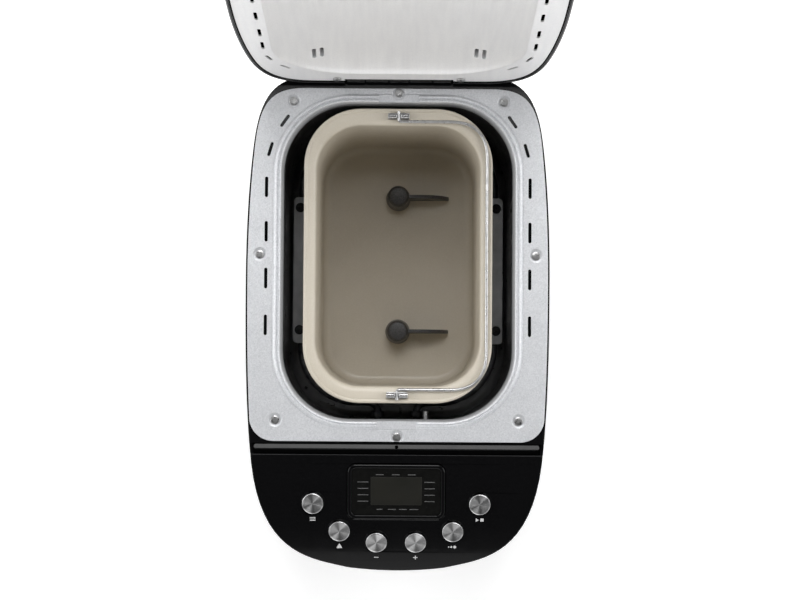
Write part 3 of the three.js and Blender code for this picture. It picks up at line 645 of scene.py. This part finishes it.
def settled(obj, angle=32):
    """Smooths a cut piece by angle and keeps its large faces flat."""
    bm = bmesh.new()
    bm.from_mesh(obj.data)
    bmesh.ops.remove_doubles(bm, verts=bm.verts, dist=2e-6)
    for face in bm.faces:
        face.smooth = True
    for edge in bm.edges:
        if len(edge.link_faces) == 2:
            edge.smooth = edge.calc_face_angle(0) < math.radians(angle)
    bm.to_mesh(obj.data)
    bm.free()
    normals = obj.modifiers.new("flat_faces", "WEIGHTED_NORMAL")
    normals.keep_sharp = True
    normals.weight = 90
    return obj


def common(one, two):
    return boolean(one, [two], "INTERSECT")


def placed(obj, matrix):
    obj.data.transform(matrix)
    return obj


def shift_by(x, y, z):
    """A move given in millimetres."""
    return Matrix.Translation(Vector((x, y, z)) * MM)


def quarter(axis, sense=1):
    """A quarter turn about an axis."""
    return Matrix.Rotation(math.pi / 2 * sense, 4, axis)


def soft_edges(obj, width, segments):
    """Rounds the sharp edges of a settled piece."""
    edge = obj.modifiers.new("edge", "BEVEL")
    edge.width = width * MM
    edge.segments = segments
    edge.limit_method = "ANGLE"
    edge.angle_limit = math.radians(50)
    edge.use_clamp_overlap = False
    obj.modifiers.move(1, 0)


# ---------------------------------------------------------------- casing

BODY = outline(BODY_OUTLINE)
WIDE = (-140, 140)


def casing():
    wall, rail_bed, beam, back_y = 2.5, 226, 222, BODY_OUTLINE[0][1]
    shell = slab("casing", BODY, 8, DECK_Z, 1.6, 0.9)
    rail_span = (PANEL_BACK_Y - 0.5, -146.7)
    inner = moved_in(BODY, wall)
    rear = common(prism("rear", inner, 5, 300), block("b", WIDE, (-144, 200), (0, DECK_Z - wall)))
    front = common(prism("front", inner, 5, 300), block("b", WIDE, (-300, rail_span[0]), (0, 300)))
    under = common(prism("under", inner, 5, 300), block("b", WIDE, (rail_span[0] - 1, -143), (0, beam)))
    bed = common(prism("bed", inner, 5, 300), block("b", WIDE, rail_span, (rail_bed, 300)))
    top = block("top", WIDE, (-300, rail_span[1]), (PANEL_TOP_Z - 0.6, 300))
    under_panel = panel_slab("under_panel", -3.3, 60)
    mouth = prism("mouth", round_rect(CHAMBER, -2.8), 200, 300)
    screws = joined("screws", [turned("s", [(2, -50), (2, 500)], 16, at) for at in SCREW_PLACES])
    boolean(shell, [rear, front, under, bed, top, under_panel, mouth, screws])
    slots = []
    for i in range(9):
        cutter = prism("v", round_rect((1.6, 25, 1.59, 0), arc=5, straight=2), -12, 12)
        slots.append(placed(cutter, shift_by((i - 4) * 9, back_y, 175) @ quarter("X")))
    gland = placed(turned("g", [(7.4, -20), (7.4, 20)], 32), shift_by(-60, back_y, 34) @ quarter("X"))
    boolean(shell, [joined("vents", slots), gland])
    finish_piece(settled(shell), LOOKS["gloss_black"], "chassis", "gloss_black", "housing_shell")


def rail():
    y = (-151.6, -147.2)
    bar = slab("front_rail_strip", round_rect((117, 2.2, 2.19, (y[0] + y[1]) / 2), arc=6), 226.4,
               PANEL_TOP_Z + 2, 0, 0.4)
    bevel = block("bevel", WIDE, (-3.2, 3.2), (0, 4))
    lean = Matrix.Rotation(math.radians(-13), 4, "X")
    placed(bevel, shift_by(0, y[0] + 1.1, PANEL_TOP_Z + 1.95) @ lean)
    boolean(bar, [bevel])
    boolean(bar, [turned("hole", [(1.5, 200), (1.5, 300)], 20, (0, (y[0] + y[1]) / 2))])
    finish_piece(settled(bar), LOOKS["gloss_black"], "chassis", "gloss_black", "front_rail")


def feet():
    for place in ("front_left", "front_right", "rear_left", "rear_right"):
        low, high = corners(f"foot_{place}")
        at = (SHIFT.inverted() @ ((low + high) / 2) / MM)[:2]
        foot = turned(f"rubber_foot_{place}", [
            (7.5, 0.8), (8.3, 0.0), (11.2, 0.0), (12.2, 0.6), (12.5, 1.6), (12.5, 6.2), (12.1, 7.3),
            (11.0, 7.7)], 48, at)
        finish_piece(foot, LOOKS["feet_rubber"], "chassis", "feet_rubber", f"foot_{place}")


# ---------------------------------------------------------------- frame plate

SLOTS = [(93.7, 118.3, 35, 12), (105.5, 94.8, 16.5, 12), (108.4, 63.6, 0, 17), (108.4, 27, 0, 17),
         (108.4, -11.5, 0, 17), (108.4, -50, 0, 17)]
LID_SLOTS = [(90.9, 115.2, 39, 12), (102.6, 92, 19, 12), (105.4, 60.9, 0, 17), (105.4, 30, 0, 17),
             (105.4, -8, 0, 17), (105.4, -46, 0, 17)]
LID_SCREWS = [(-50.5, 146.5), (50.5, 146.5)]
SCREW_PLACES = [tuple((SHIFT.inverted() @ middle(name) / MM)[:2]) for name in FRAME_SCREWS]


def frame_plate():
    top = FRAME_Z
    plate = slab("frame_plate", outline(PLATE_OUTLINE), top - SHEET, top, 0, 0.5)
    # Section round the opening, as (distance outward from the opening, height above the plate).
    section = [(8.6, -0.8), (8.6, 0.0), (8.1, 0.05), (7.6, -0.25), (7.1, -0.35), (6.6, -0.1), (6.1, 0.6),
               (5.5, 1.25), (4.8, 1.35), (4.2, 0.9), (3.7, 0.35), (3.2, 0.3), (2.7, 0.8), (2.1, 1.4),
               (1.4, 1.4), (0.8, 0.9), (0.35, 0.1), (0.0, -1.4), (-0.5, -4.0), (-1.1, -13.0), (0.2, -13.0),
               (0.9, -4.0), (1.4, -1.6)]
    bead = rect_loft("bead", [(OPENING, -out, top + z) for out, z in section], 60, closed=True)
    well = prism("well", round_rect(OPENING, -7.4), 200, 300)
    boolean(plate, [well])
    boolean(plate, [bead], "UNION")
    tabs = [slab("tab", round_rect((16.5, 20, 2, y)), top, top + 5) for y in (141, -141)]
    slots = joined("slots", slot_pairs(SLOTS, SLOT_WIDTH, 230, 250))
    dimples = joined("dimples", [
        turned("d", [(2, 237.0), (2, top - 0.75), (3.9, top - 0.55), (4.9, top - 0.5), (5.6, top - 0.2),
                     (6.0, top + 0.02), (6.0, top + 1)], 40, at) for at in SCREW_PLACES])
    boolean(plate, tabs + [slots])
    boolean(plate, [dimples])
    finish_piece(settled(plate, 40), LOOKS["silver_paint"], "chassis", "silver_paint", "top_frame")


def screw_head(length=6):
    """A raised head with a cross recess, its seat at height 0."""
    head = turned("screw", [(1.6, -length), (1.6, 0.3), (3.3, 0.3), (3.6, 0.5), (3.55, 0.95), (3.3, 1.25),
                            (2.9, 1.38), (1.8, 1.46), (0.0, 1.5)], 40)
    reach, half, depth = (-2.3, 2.3), (-0.5, 0.5), (0.6, 3)
    return boolean(head, [block("c", reach, half, depth), block("c", half, reach, depth)])


def frame_screws():
    made = []
    for x, y in SCREW_PLACES:
        turn = Matrix.Rotation(math.radians(RNG.uniform(0, 90)), 4, "Z")
        made.append(placed(screw_head(), shift_by(x, y, FRAME_Z - 0.3) @ turn))
    piece = settled(joined("frame_screw_heads", made), 30)
    finish_piece(piece, LOOKS["bright_steel"], "chassis", "bright_steel", *FRAME_SCREWS)


# ---------------------------------------------------------------- control panel

def panel():
    outer = prism("outer", moved_in(BODY, 0.1), 120, 260)
    piece = common(panel_slab("panel_top", -3, 0), outer)
    holes = [on_panel(turned("hole", [(9.1, -8), (9.1, 8)], 48), x, y) for x, y in BUTTON_AT]
    window = on_panel(prism("window", round_rect((40.3, 23.3, 7, 0)), -8, 8), 0, DISPLAY_Y)
    boolean(piece, [window, joined("holes", holes)])
    soft_edges(settled(piece), 0.7, 2)
    finish_piece(piece, LOOKS["gloss_black"], "chassis", "gloss_black", "control_panel")


def mark(points, x, y, height=0.06):
    """A printed mark drawn flat and laid on the panel."""
    return on_panel(prism("mark", points, -0.05, height), x, y)


def bar(x, y, half_x, half_y):
    return [Vector((x - half_x, y + half_y)), Vector((x + half_x, y + half_y)),
            Vector((x + half_x, y - half_y)), Vector((x - half_x, y - half_y))]


def disc(x, y, r, sides=20):
    return [Vector((x + r * math.cos(a), y - r * math.sin(a)))
            for a in (2 * math.pi * k / sides for k in range(sides))]


def panel_marks():
    """A pictogram below each button: menu, weight, less, more, crust and start or stop."""
    drop = 13.4
    at = [(x, y - drop) for x, y in BUTTON_AT]
    made = [mark(bar(0, dy, 2.4, 0.28), *at[0]) for dy in (-1.3, 0, 1.3)]
    made.append(mark([Vector((-1.3, 0.9)), Vector((1.3, 0.9)), Vector((2.3, -1.7)), Vector((-2.3, -1.7))],
                     *at[1]))
    made.append(mark(disc(0, 1.5, 0.8), *at[1]))
    made.append(mark(bar(0, 0, 1.8, 0.32), *at[2]))
    made += [mark(bar(0, 0, 1.8, 0.32), *at[3]), mark(bar(0, 1.05, 0.32, 0.73), *at[3]),
             mark(bar(0, -1.05, 0.32, 0.73), *at[3])]
    made += [mark(disc(dx, 0, r), *at[4]) for dx, r in ((-3, 0.55), (-0.9, 0.85), (1.9, 1.25))]
    made.append(mark([Vector((-3.0, 1.5)), Vector((-0.4, 0)), Vector((-3.0, -1.5))], *at[5]))
    made.append(mark(bar(2.1, 0, 1.3, 1.3), *at[5]))
    finish_piece(joined("panel_marks", made), INK, "chassis", "button_metal")


def display():
    ring = prism("ring", round_rect((40, 23, 6.7, 0)), -9, 9)
    boolean(ring, [prism("hole", round_rect((36.8, 19.8, 4, 0)), -20, 20)])
    bezel = common(panel_slab("display_frame", -3, 1.1), on_panel(ring, 0, DISPLAY_Y))
    soft_edges(settled(bezel), 0.8, 3)
    finish_piece(bezel, LOOKS["gloss_black"], "chassis", "gloss_black", "display_bezel")
    lens = common(panel_slab("display_cover", -1.8, 0.2),
                  on_panel(prism("lens", round_rect((36.5, 19.5, 3.8, 0)), -9, 9), 0, DISPLAY_Y))
    finish_piece(settled(lens), LENS, "chassis", "display_window", "display_lens")
    glass = round_rect((21, 11.8, 0.8, 0), arc=3, straight=2)
    film = on_panel(slab("lcd_film", glass, -0.1, 0.34, 0, 0.1, 1), 0, DISPLAY_Y + 0.8)
    finish_piece(film, LOOKS["display_window"], "chassis", "display_window")
    rows = [(x, 14.6, 3.2) for x in (-13.5, -0.6, 12.6)]
    rows += [(x, -14.6, half) for x, half in ((-13.6, 2.4), (-3.6, 3.2), (5.6, 3.2), (14.6, 3.6))]
    rows += [(x, y, half) for x, half in ((-27.4, 4.4), (27.4, 4.2)) for y in (8.4, 3.0, -2.4, -7.8)]
    dashes = [mark(bar(x, y, half, 0.34), 0, DISPLAY_Y, 0.3) for x, y, half in rows]
    finish_piece(joined("display_marks", dashes), INK_DIM, "chassis", "display_window")


def button_caps():
    cap_profile = [(2.2, -9), (2.2, -2.2), (8.2, -2.2), (8.7, -1.9), (8.7, 1.9), (8.6, 2.25), (8.35, 2.45),
                   (8.0, 2.55), (7.6, 2.52), (5.0, 2.42), (2.5, 2.36), (0.0, 2.34)]
    for i, (x, y) in enumerate(BUTTON_AT):
        cap = turned(f"button_cap_{i + 1}", cap_profile, 72, angle=28)
        cap.matrix_world = SHIFT @ shift_by(x, y, panel_height(y)) @ Matrix.Rotation(panel_slope(y), 4, "X")
        bpy.context.view_layer.update()
        finish_piece(cap, LOOKS["button_metal"], f"push_button_{i + 1}", "button_metal", BUTTONS[i])


# ---------------------------------------------------------------- chamber and heater

# Height of the heating element, and where its two ends leave through the front wall.
ELEMENT_Z, ROD_X = 82, 17.5
GUARD_SCREW_X = 88.6
GUARD_SCREW_Y = {"rear": 59.5, "front": -51}


def chamber():
    low, high, half_way, bend = 60, 236.4, 150, 8
    floor_bend = [(0, low + bend)] + rounded_corner((bend, low + bend), bend, 180, 270)[1:]
    # Section of the tub, as (distance inward from the chamber's inside, height).
    inside = [(inset, z + SHEET) for inset, z in reversed(floor_bend)]
    inside += [(0.0, half_way), (0.0, high - 1.4), (-0.6, high - 0.4), (-1.6, high)]
    outside = [(-2.4, high), (-2.4, high - SHEET), (-SHEET, high - SHEET), (-SHEET, half_way)]
    outside += [(inset - SHEET, z) for inset, z in floor_bend]
    profile = [(CHAMBER, inset, z) for inset, z in inside + outside]
    tub = rect_loft("chamber_tub", profile, first_cap=True, last_cap=True)
    holes = [turned("h", [(7, 40), (7, 90)], 32, (0, y)) for y in PADDLE_Y]
    wall_y = -131
    for x, z, r in ((-ROD_X, ELEMENT_Z, 4.2), (ROD_X, ELEMENT_Z, 4.2), (24, 205, 3)):
        holes.append(placed(turned("h", [(r, -8), (r, 8)], 24), shift_by(x, wall_y, z) @ quarter("X")))
    boolean(tub, [joined("holes", holes)])
    finish_piece(settled(tub, 40), LOOKS["chamber_steel"], "chassis", "chamber_steel", "baking_chamber")


def element():
    z, reach, front, back, r = ELEMENT_Z, 87, -116, 126.5, 50
    end_r = 9.5
    right = [(0, back)]
    right += [(reach - r + r * math.sin(a), back - r + r * math.cos(a))
              for a in (math.pi / 2 * k / 16 for k in range(17))]
    right += [(reach, y) for y in (40, 5, -30)]
    right += [(reach - r + r * math.cos(a), front + r - r * math.sin(a))
              for a in (math.pi / 2 * k / 16 for k in range(17))]
    right += [(27, front)]
    right += [(ROD_X + end_r - end_r * math.sin(a), front - 8 + 8 * math.cos(a))
              for a in (math.pi / 2 * k / 8 for k in range(1, 9))]
    right += [(ROD_X, -139)]
    path = [(-x, y, z) for x, y in reversed(right[1:])] + [(x, y, z) for x, y in right]
    pieces = [tube("rod", path, 3.25, 16)]
    for x in (-ROD_X, ROD_X):
        collar = turned("collar", [(3.3, -2.5), (5.6, -2.5), (6, -2.1), (6, 2.1), (5.6, 2.5), (3.3, 2.5)], 32)
        pieces.append(placed(collar, shift_by(x, -126.5, z) @ quarter("X")))
    finish_piece(joined("element_rod", pieces), LOOKS["element_sheath"], "chassis", "element_sheath",
                 "heating_element")


def guards():
    for side, name in ((-1, "left"), (1, "right")):
        low, high = corners(f"element_guard_{name}")
        x = sorted((low.x / MM, high.x / MM), key=abs)
        back = SHIFT.inverted().translation.y
        y, top = ((low.y + back) / MM, (high.y + back) / MM), high.z / MM
        middle_x, half = (x[0] + x[1]) / 2, abs(x[1] - x[0]) / 2
        shape = (half, (y[1] - y[0]) / 2, 4, (y[0] + y[1]) / 2)
        strip = slab(f"guard_{name}", round_rect(shape, arc=5), top - SHEET, top, 0, 0.4, 2)
        strip.data.transform(Matrix.Translation((middle_x * MM, 0, 0)))
        inner = sorted((x[0], x[0] + side * SHEET))
        foot = block("foot", inner, (y[0] + 4, y[1] - 4), (low.z / MM, top - 0.5))
        sill = block("sill", sorted((x[0], x[0] + side * 3.6)), (y[0] + 4, y[1] - 4),
                     (low.z / MM, low.z / MM + SHEET))
        boolean(strip, [foot, sill], "UNION")
        finish_piece(settled(strip), GUARD, "chassis", "chamber_steel", f"element_guard_{name}")
        rise = [(0.5, 0.1), (4.1, 0.1), (4.3, 0.6), (3.9, 1.3),
                (2.6, 1.8), (1.4, 1.9), (1.1, 1.2), (0.0, 1.2)]
        section = [(r, top + z) for r, z in rise]
        for tag, screw_y in GUARD_SCREW_Y.items():
            head = turned(f"guard_screw_{name}_{tag}", section, 32, (side * GUARD_SCREW_X, screw_y))
            finish_piece(head, LOOKS["matte_black"], "chassis", "matte_black")


# ---------------------------------------------------------------- pan and paddles

def pan():
    low, high, sheet = 85, PAN_Z, SHEET

    def body(inset, z):
        return (PAN_BODY, inset, z)

    outside = [body(8, low)] + [body(o, z) for o, z in rounded_corner((8, low + 8), 8, 270, 180)[1:]]
    outside += [body(0, 150), body(0, high - 6.5)]
    # The rim: a flat flange that rolls down at its outer edge.
    rim = [(shape_between(PAN_BODY, PAN_RIM, 0.12), 0, high - 3.0),
           (shape_between(PAN_BODY, PAN_RIM, 0.4), 0, high - 1.9), (PAN_RIM, 2.8, high - 1.9),
           (PAN_RIM, 1.6, high - 2.3), (PAN_RIM, 0.6, high - 2.4), (PAN_RIM, 0.0, high - 1.9),
           (PAN_RIM, 0.0, high - 1.0), (PAN_RIM, 0.5, high - 0.3), (PAN_RIM, 1.4, high),
           (PAN_RIM, 2.3, high - 0.1), (PAN_RIM, 2.9, high - 0.7), (PAN_RIM, 3.5, high - 0.8),
           (PAN_RIM, 4.2, high - 0.45), (shape_between(PAN_BODY, PAN_RIM, 0.3), 0, high - 0.5),
           (shape_between(PAN_BODY, PAN_RIM, 0.08), 0, high - 1.0), (PAN_BODY, 0.5, high - 2.2),
           (PAN_BODY, 0.95, high - 4.0), (PAN_BODY, sheet, high - 7)]
    inside = [body(sheet, 150)]
    inside += [body(sheet + o, z) for o, z in rounded_corner((8, low + sheet + 8), 8, 180, 270)]
    piece = rect_loft("pan_bowl", outside + rim + inside, 45, first_cap=True, last_cap=True)
    skirt_shape, foot = (40, 86, 30, 7.9), 68
    section = [(0, foot + 0.5), (0, low + 0.6), (sheet, low + 0.6), (sheet, foot + 0.5),
               (0.9, foot), (0.3, foot)]
    skirt = rect_loft("skirt", [(skirt_shape, inset, z) for inset, z in section], closed=True)
    boolean(piece, [skirt], "UNION")
    holes = [turned("h", [(4.6, 60), (4.6, 120)], 32, (0, y)) for y in PADDLE_Y]
    boolean(piece, [joined("holes", holes)])
    finish_piece(settled(piece, 45), LOOKS["pan_coating"], "pan", "pan_coating", "bread_pan")


LUG_Y = {"front": -107, "rear": 123}


def lugs():
    for name, y in LUG_Y.items():
        z = PAN_Z + 2.5
        roll = [(1.0, 0.0), (2.1, 0.0), (2.3, 0.3), (2.3, 2.0), (1.95, 2.2), (1.95, 2.6), (2.3, 2.8),
                (2.3, 5.6), (1.95, 5.8), (1.95, 6.2), (2.2, 6.4), (2.2, 6.9), (1.6, 7.1), (1.0, 7.1)]
        made = []
        for side in (1, -1):
            barrel = turned("roll", roll, 24)
            made.append(placed(barrel, shift_by(side * 1.7, y, z) @ quarter("Y", side)))
        base = round_rect((9, 2.8, 1.2, y), arc=4)
        made.append(slab("saddle", base, PAN_Z + 0.3, PAN_Z + 1.1, 0, 0.3, 2))
        finish_piece(joined(f"handle_saddle_{name}", made), LOOKS["bright_steel"], "pan", "bright_steel",
                     f"handle_lug_{name}")


def handle():
    z, reach, bend = PAN_Z + 2.2, 73, 30
    front, back = LUG_Y["front"], LUG_Y["rear"]
    near, far = front + 4.6, back - 4.6
    bends = [math.pi / 2 * k / 6 for k in range(7)]

    def curve(a, control, b):
        return [tuple(bezier([a, control, b], k / 14)) for k in range(15)]

    points = [(0, front - 4.0), (0, front), (0, near - 2)]
    points += [(2 - 2 * math.cos(a), near - 2 + 2 * math.sin(a)) for a in bends[1:]]
    points += [(20, near)]
    points += curve((reach - bend, near), (reach, near), (reach, near + bend))
    points += [(reach, (near + far) / 2)]
    points += curve((reach, far - bend), (reach, far), (reach - bend, far))
    points += [(20, far)]
    points += [(2 - 2 * math.sin(a), far + 2 - 2 * math.cos(a)) for a in bends]
    points += [(0, back), (0, back + 4.0)]
    wire = tube("wire_handle", [(x, y, z) for x, y in points], 1.3, 16)
    finish_piece(wire, LOOKS["bright_steel"], "handle", "bright_steel", "pan_handle")


def paddles():
    for name, y in zip(("front", "rear"), PADDLE_Y):
        floor = 89.3
        rise = [(4.3, 0), (10.6, 0), (11, 0.5), (10.3, 13), (9.5, 25),
                (8.9, 27.2), (7.4, 28.6), (5.0, 29), (0, 29)]
        hub = turned("hub", [(r, floor + z) for r, z in rise], 48, (0, y))
        steps = 16
        spine = [(6, 25), (20, 25)]
        curve = [tuple(bezier([(20, 25), (38, 24), (45, 6)], k / steps)) for k in range(1, steps + 1)]
        tip = [tuple(bezier([(45, 6), (47, 1), (42, 0.6)], k / 6)) for k in range(1, 7)]
        side = [Vector(p) for p in spine + curve + tip + [(6, 0.0)]]
        fin = slab("fin", side, -1.7, 1.7, 0.7, 0.7, 3)
        placed(fin, shift_by(0, y, floor) @ quarter("X"))
        boolean(hub, [fin], "UNION")
        boolean(hub, [turned("bore", [(4.3, 60), (4.3, floor + 24)], 32, (0, y))])
        finish_piece(settled(hub), LOOKS["paddle_coating"], f"{name}_paddle", "paddle_coating",
                     f"kneading_paddle_{name}")


# ---------------------------------------------------------------- lid and hinge

LID = outline(LID_OUTLINE)
NOTCH_X = (-44.5, 44.5)
NOTCH_Z = (226, 252)
# Vent pairs in the floor of the lid recess: places across, then the middle, length and width.
LID_VENT_X = (-67.6, -61.4, 61.4, 67.6)
LID_VENT_Y, LID_VENT_LENGTH, LID_VENT_WIDTH = 103, 15, 3.2


def lid_shell():
    rim, crown, wall, bend = HINGE_Z - 5.2, HINGE_Z + 38, 2.5, 16
    rings = [(0.9, rim), (0.25, rim + 0.25), (0.0, rim + 0.9), (0.0, crown - bend)]
    rings += [(bend + o, z) for o, z in rounded_corner((0, crown - bend), bend, 180, 90, 9)[1:]]
    outside = [at_height(moved_in(LID, inset), z) for inset, z in rings]
    inside = [(wall - 0.9, rim), (wall - 0.25, rim + 0.25), (wall, rim + 0.9), (wall, crown - bend)]
    inside += [(bend + o, z) for o, z in rounded_corner((0, crown - bend), bend - wall, 180, 90, 9)[1:]]
    inner = [at_height(moved_in(LID, inset), z) for inset, z in inside]
    bm = bmesh.new()
    add_loft(bm, list(reversed(inner)) + outside, first_cap=True, last_cap=True)
    shell = from_bmesh("lid_shell", bm)
    boolean(shell, [block("notch", NOTCH_X, (145, 159), NOTCH_Z)])
    finish_piece(turn_about_hinge(settled(shell)), LOOKS["gloss_black"], "lid", "gloss_black", "lid_outer")


def lid_lining():
    low, sheet, top = HINGE_Z - 3.9, SHEET, HINGE_Z + 9
    flange = slab("lid_lining", moved_in(LID, 3.2), low, low + sheet, 0.4, 0)
    # Section of the recess, as (distance inward from the recess outline, height).
    bend = 8
    hollow = [(-2.6, low - 1), (-2.6, low), (-1.6, low + 0.3), (-0.6, low + 1.1), (0.4, low + 2.0),
              (3.0, low + 3.4), (8.0, low + 5.4), (14.0, low + 7.3), (22.0, low + 9.2), (31.0, low + 10.8),
              (42.0, low + 11.9), (52.0, top - 0.7)]
    outer = [(-sheet, low + 0.4), (-sheet, top - bend)]
    outer += rounded_corner((bend, top - bend), bend + sheet, 180, 90, 8)[1:]
    dome = rect_loft("dome", [(RECESS, inset, z) for inset, z in outer], first_cap=True, last_cap=True)
    cutter = rect_loft("hollow", [(RECESS, inset, z) for inset, z in hollow], first_cap=True, last_cap=True)
    boolean(flange, [dome], "UNION")
    vents = [slot(x, LID_VENT_Y, 0, LID_VENT_LENGTH, LID_VENT_WIDTH, 240, 290) for x in LID_VENT_X]
    edge = slot_pairs(LID_SLOTS, SLOT_WIDTH, 230, 252)
    screws = [turned("s", [(2, 230), (2, 250)], 20, at) for at in LID_SCREWS]
    notch = block("notch", NOTCH_X, (147.8, 159), NOTCH_Z)
    boolean(flange, [cutter, joined("cuts", vents + edge + screws), notch])
    finish_piece(turn_about_hinge(settled(flange, 40)), LINER, "lid", "silver_paint", "lid_liner")
    made = []
    for x, y in LID_SCREWS:
        made.append(placed(screw_head(5), shift_by(x, y, low) @ Matrix.Rotation(math.pi, 4, "X")))
    heads = settled(joined("lid_screw_heads", made), 30)
    finish_piece(turn_about_hinge(heads), LOOKS["bright_steel"], "lid", "bright_steel",
                 "lid_screw_left", "lid_screw_right")


def barrel_x(span, radius, edge=0.5):
    """A barrel on the hinge's axis."""
    shape = turned("barrel", [(radius - edge, span[0]), (radius, span[0] + edge), (radius, span[1] - edge),
                              (radius - edge, span[1])], 40)
    return placed(shape, shift_by(0, HINGE_Y, HINGE_Z) @ quarter("Y"))


def hinge():
    y, z, deck = HINGE_Y, HINGE_Z, DECK_Z + 0.3
    base = block("hinge_block", (-43, 43), (y - 4.6, y + 1.8), (deck, deck + 2.2))
    for span in ((-43, -28), (-8, 8), (28, 43)):
        web = block("web", (span[0] + 0.5, span[1] - 0.5), (y - 4.6, y + 1.8), (deck, z - 1))
        boolean(base, [barrel_x(span, 4.6), web], "UNION")
    boolean(base, [barrel_x((-50, 50), 2.3)])
    finish_piece(settled(base), LOOKS["gloss_black"], "chassis", "gloss_black", "hinge_base")
    leaf = block("hinge_flap", (-40, 40), (y - 8.8, y - 6.6), (z + 0.6, z + 20))
    for span in ((-27.5, -8.5), (8.5, 27.5)):
        arm = block("arm", (span[0] + 0.5, span[1] - 0.5), (y - 8, y - 1), (z + 0.6, z + 4.4))
        boolean(leaf, [barrel_x(span, 4.4), arm], "UNION")
    boolean(leaf, [barrel_x((-50, 50), 2.3)])
    finish_piece(turn_about_hinge(settled(leaf)), LOOKS["gloss_black"], "lid", "gloss_black", "hinge_leaf")


casing()
rail()
feet()
frame_plate()
frame_screws()
panel()
panel_marks()
display()
button_caps()
chamber()
element()
guards()
pan()
lugs()
handle()
paddles()
lid_shell()
lid_lining()
hinge()


# ---------------------------------------------------------------- camera, floor and light

def stage_and_light():
    bm = bmesh.new()
    bmesh.ops.create_grid(bm, x_segments=1, y_segments=1, size=6)
    floor = from_bmesh("studio_floor", bm)
    look = Look("studio_floor", (0.9, 0.9, 0.9), 0.7, Emission_Color=(1, 1, 1, 1), Emission_Strength=0.42)
    look.colour(look.colours(look.noise(3, 2), (0.89, 0.89, 0.89), (0.91, 0.91, 0.91)))
    floor.data.materials.append(look.material)
    world = bpy.data.worlds.new("studio")
    world.use_nodes = True
    sky = world.node_tree.nodes
    place = sky.new("ShaderNodeTexCoord")
    split = sky.new("ShaderNodeSeparateXYZ")
    ramp = sky.new("ShaderNodeValToRGB")
    # Bright low down and dark overhead, so that gloss black stays black from above.
    for position, level in ((0.0, 1.0), (0.3, 0.9), (0.55, 0.25), (0.75, 0.05)):
        stop = ramp.color_ramp.elements.new(position)
        stop.color = (level, level, level, 1)
    ramp.color_ramp.elements.remove(ramp.color_ramp.elements[0])
    ramp.color_ramp.elements.remove(ramp.color_ramp.elements[-1])
    world.node_tree.links.new(place.outputs["Generated"], split.inputs["Vector"])
    world.node_tree.links.new(split.outputs["Z"], ramp.inputs["Fac"])
    world.node_tree.links.new(ramp.outputs["Color"], sky["Background"].inputs["Color"])
    sky["Background"].inputs["Strength"].default_value = 1.1
    bpy.context.scene.world = world
    # Each area light's name, place and size in metres, and power in watts.
    for name, place, size, power in (
        ("key_rear", (0.0, 1.25, 1.9), 1.2, 20),
        ("key_top", (0.0, 0.62, 1.75), 0.6, 5),
        ("fill_left", (-1.5, 0.1, 1.3), 1.1, 14),
        ("fill_right", (1.5, 0.1, 1.3), 1.1, 14),
        ("fill_front", (0.0, -2.0, 0.5), 2.0, 8),
    ):
        light = bpy.data.lights.new(name, "AREA")
        light.size = size
        light.energy = power
        lamp = new_object(name, light)
        lamp.location = place
        aim = Vector((0, 0, 0.2)) - Vector(place)
        lamp.rotation_euler = aim.to_track_quat("-Z", "Y").to_euler()


def camera():
    """Nearly straight down, from above the front half of the frame plate."""
    distance, side, foot_y, focal_length = 1.5, 0.002, -0.082, 82.3
    tilt, roll = math.radians(2.03), math.radians(0.4)
    lens = bpy.data.cameras.new("camera")
    lens.sensor_width = 36
    lens.lens = focal_length
    eye = new_object("camera", lens)
    eye.location = (side, SHIFT.translation.y + foot_y, FRAME_Z * MM + distance)
    eye.rotation_euler = (Matrix.Rotation(tilt, 3, "X") @ Matrix.Rotation(roll, 3, "Z")).to_euler()
    bpy.context.scene.camera = eye
    bpy.context.scene.view_settings.view_transform = "Standard"


stage_and_light()
camera()
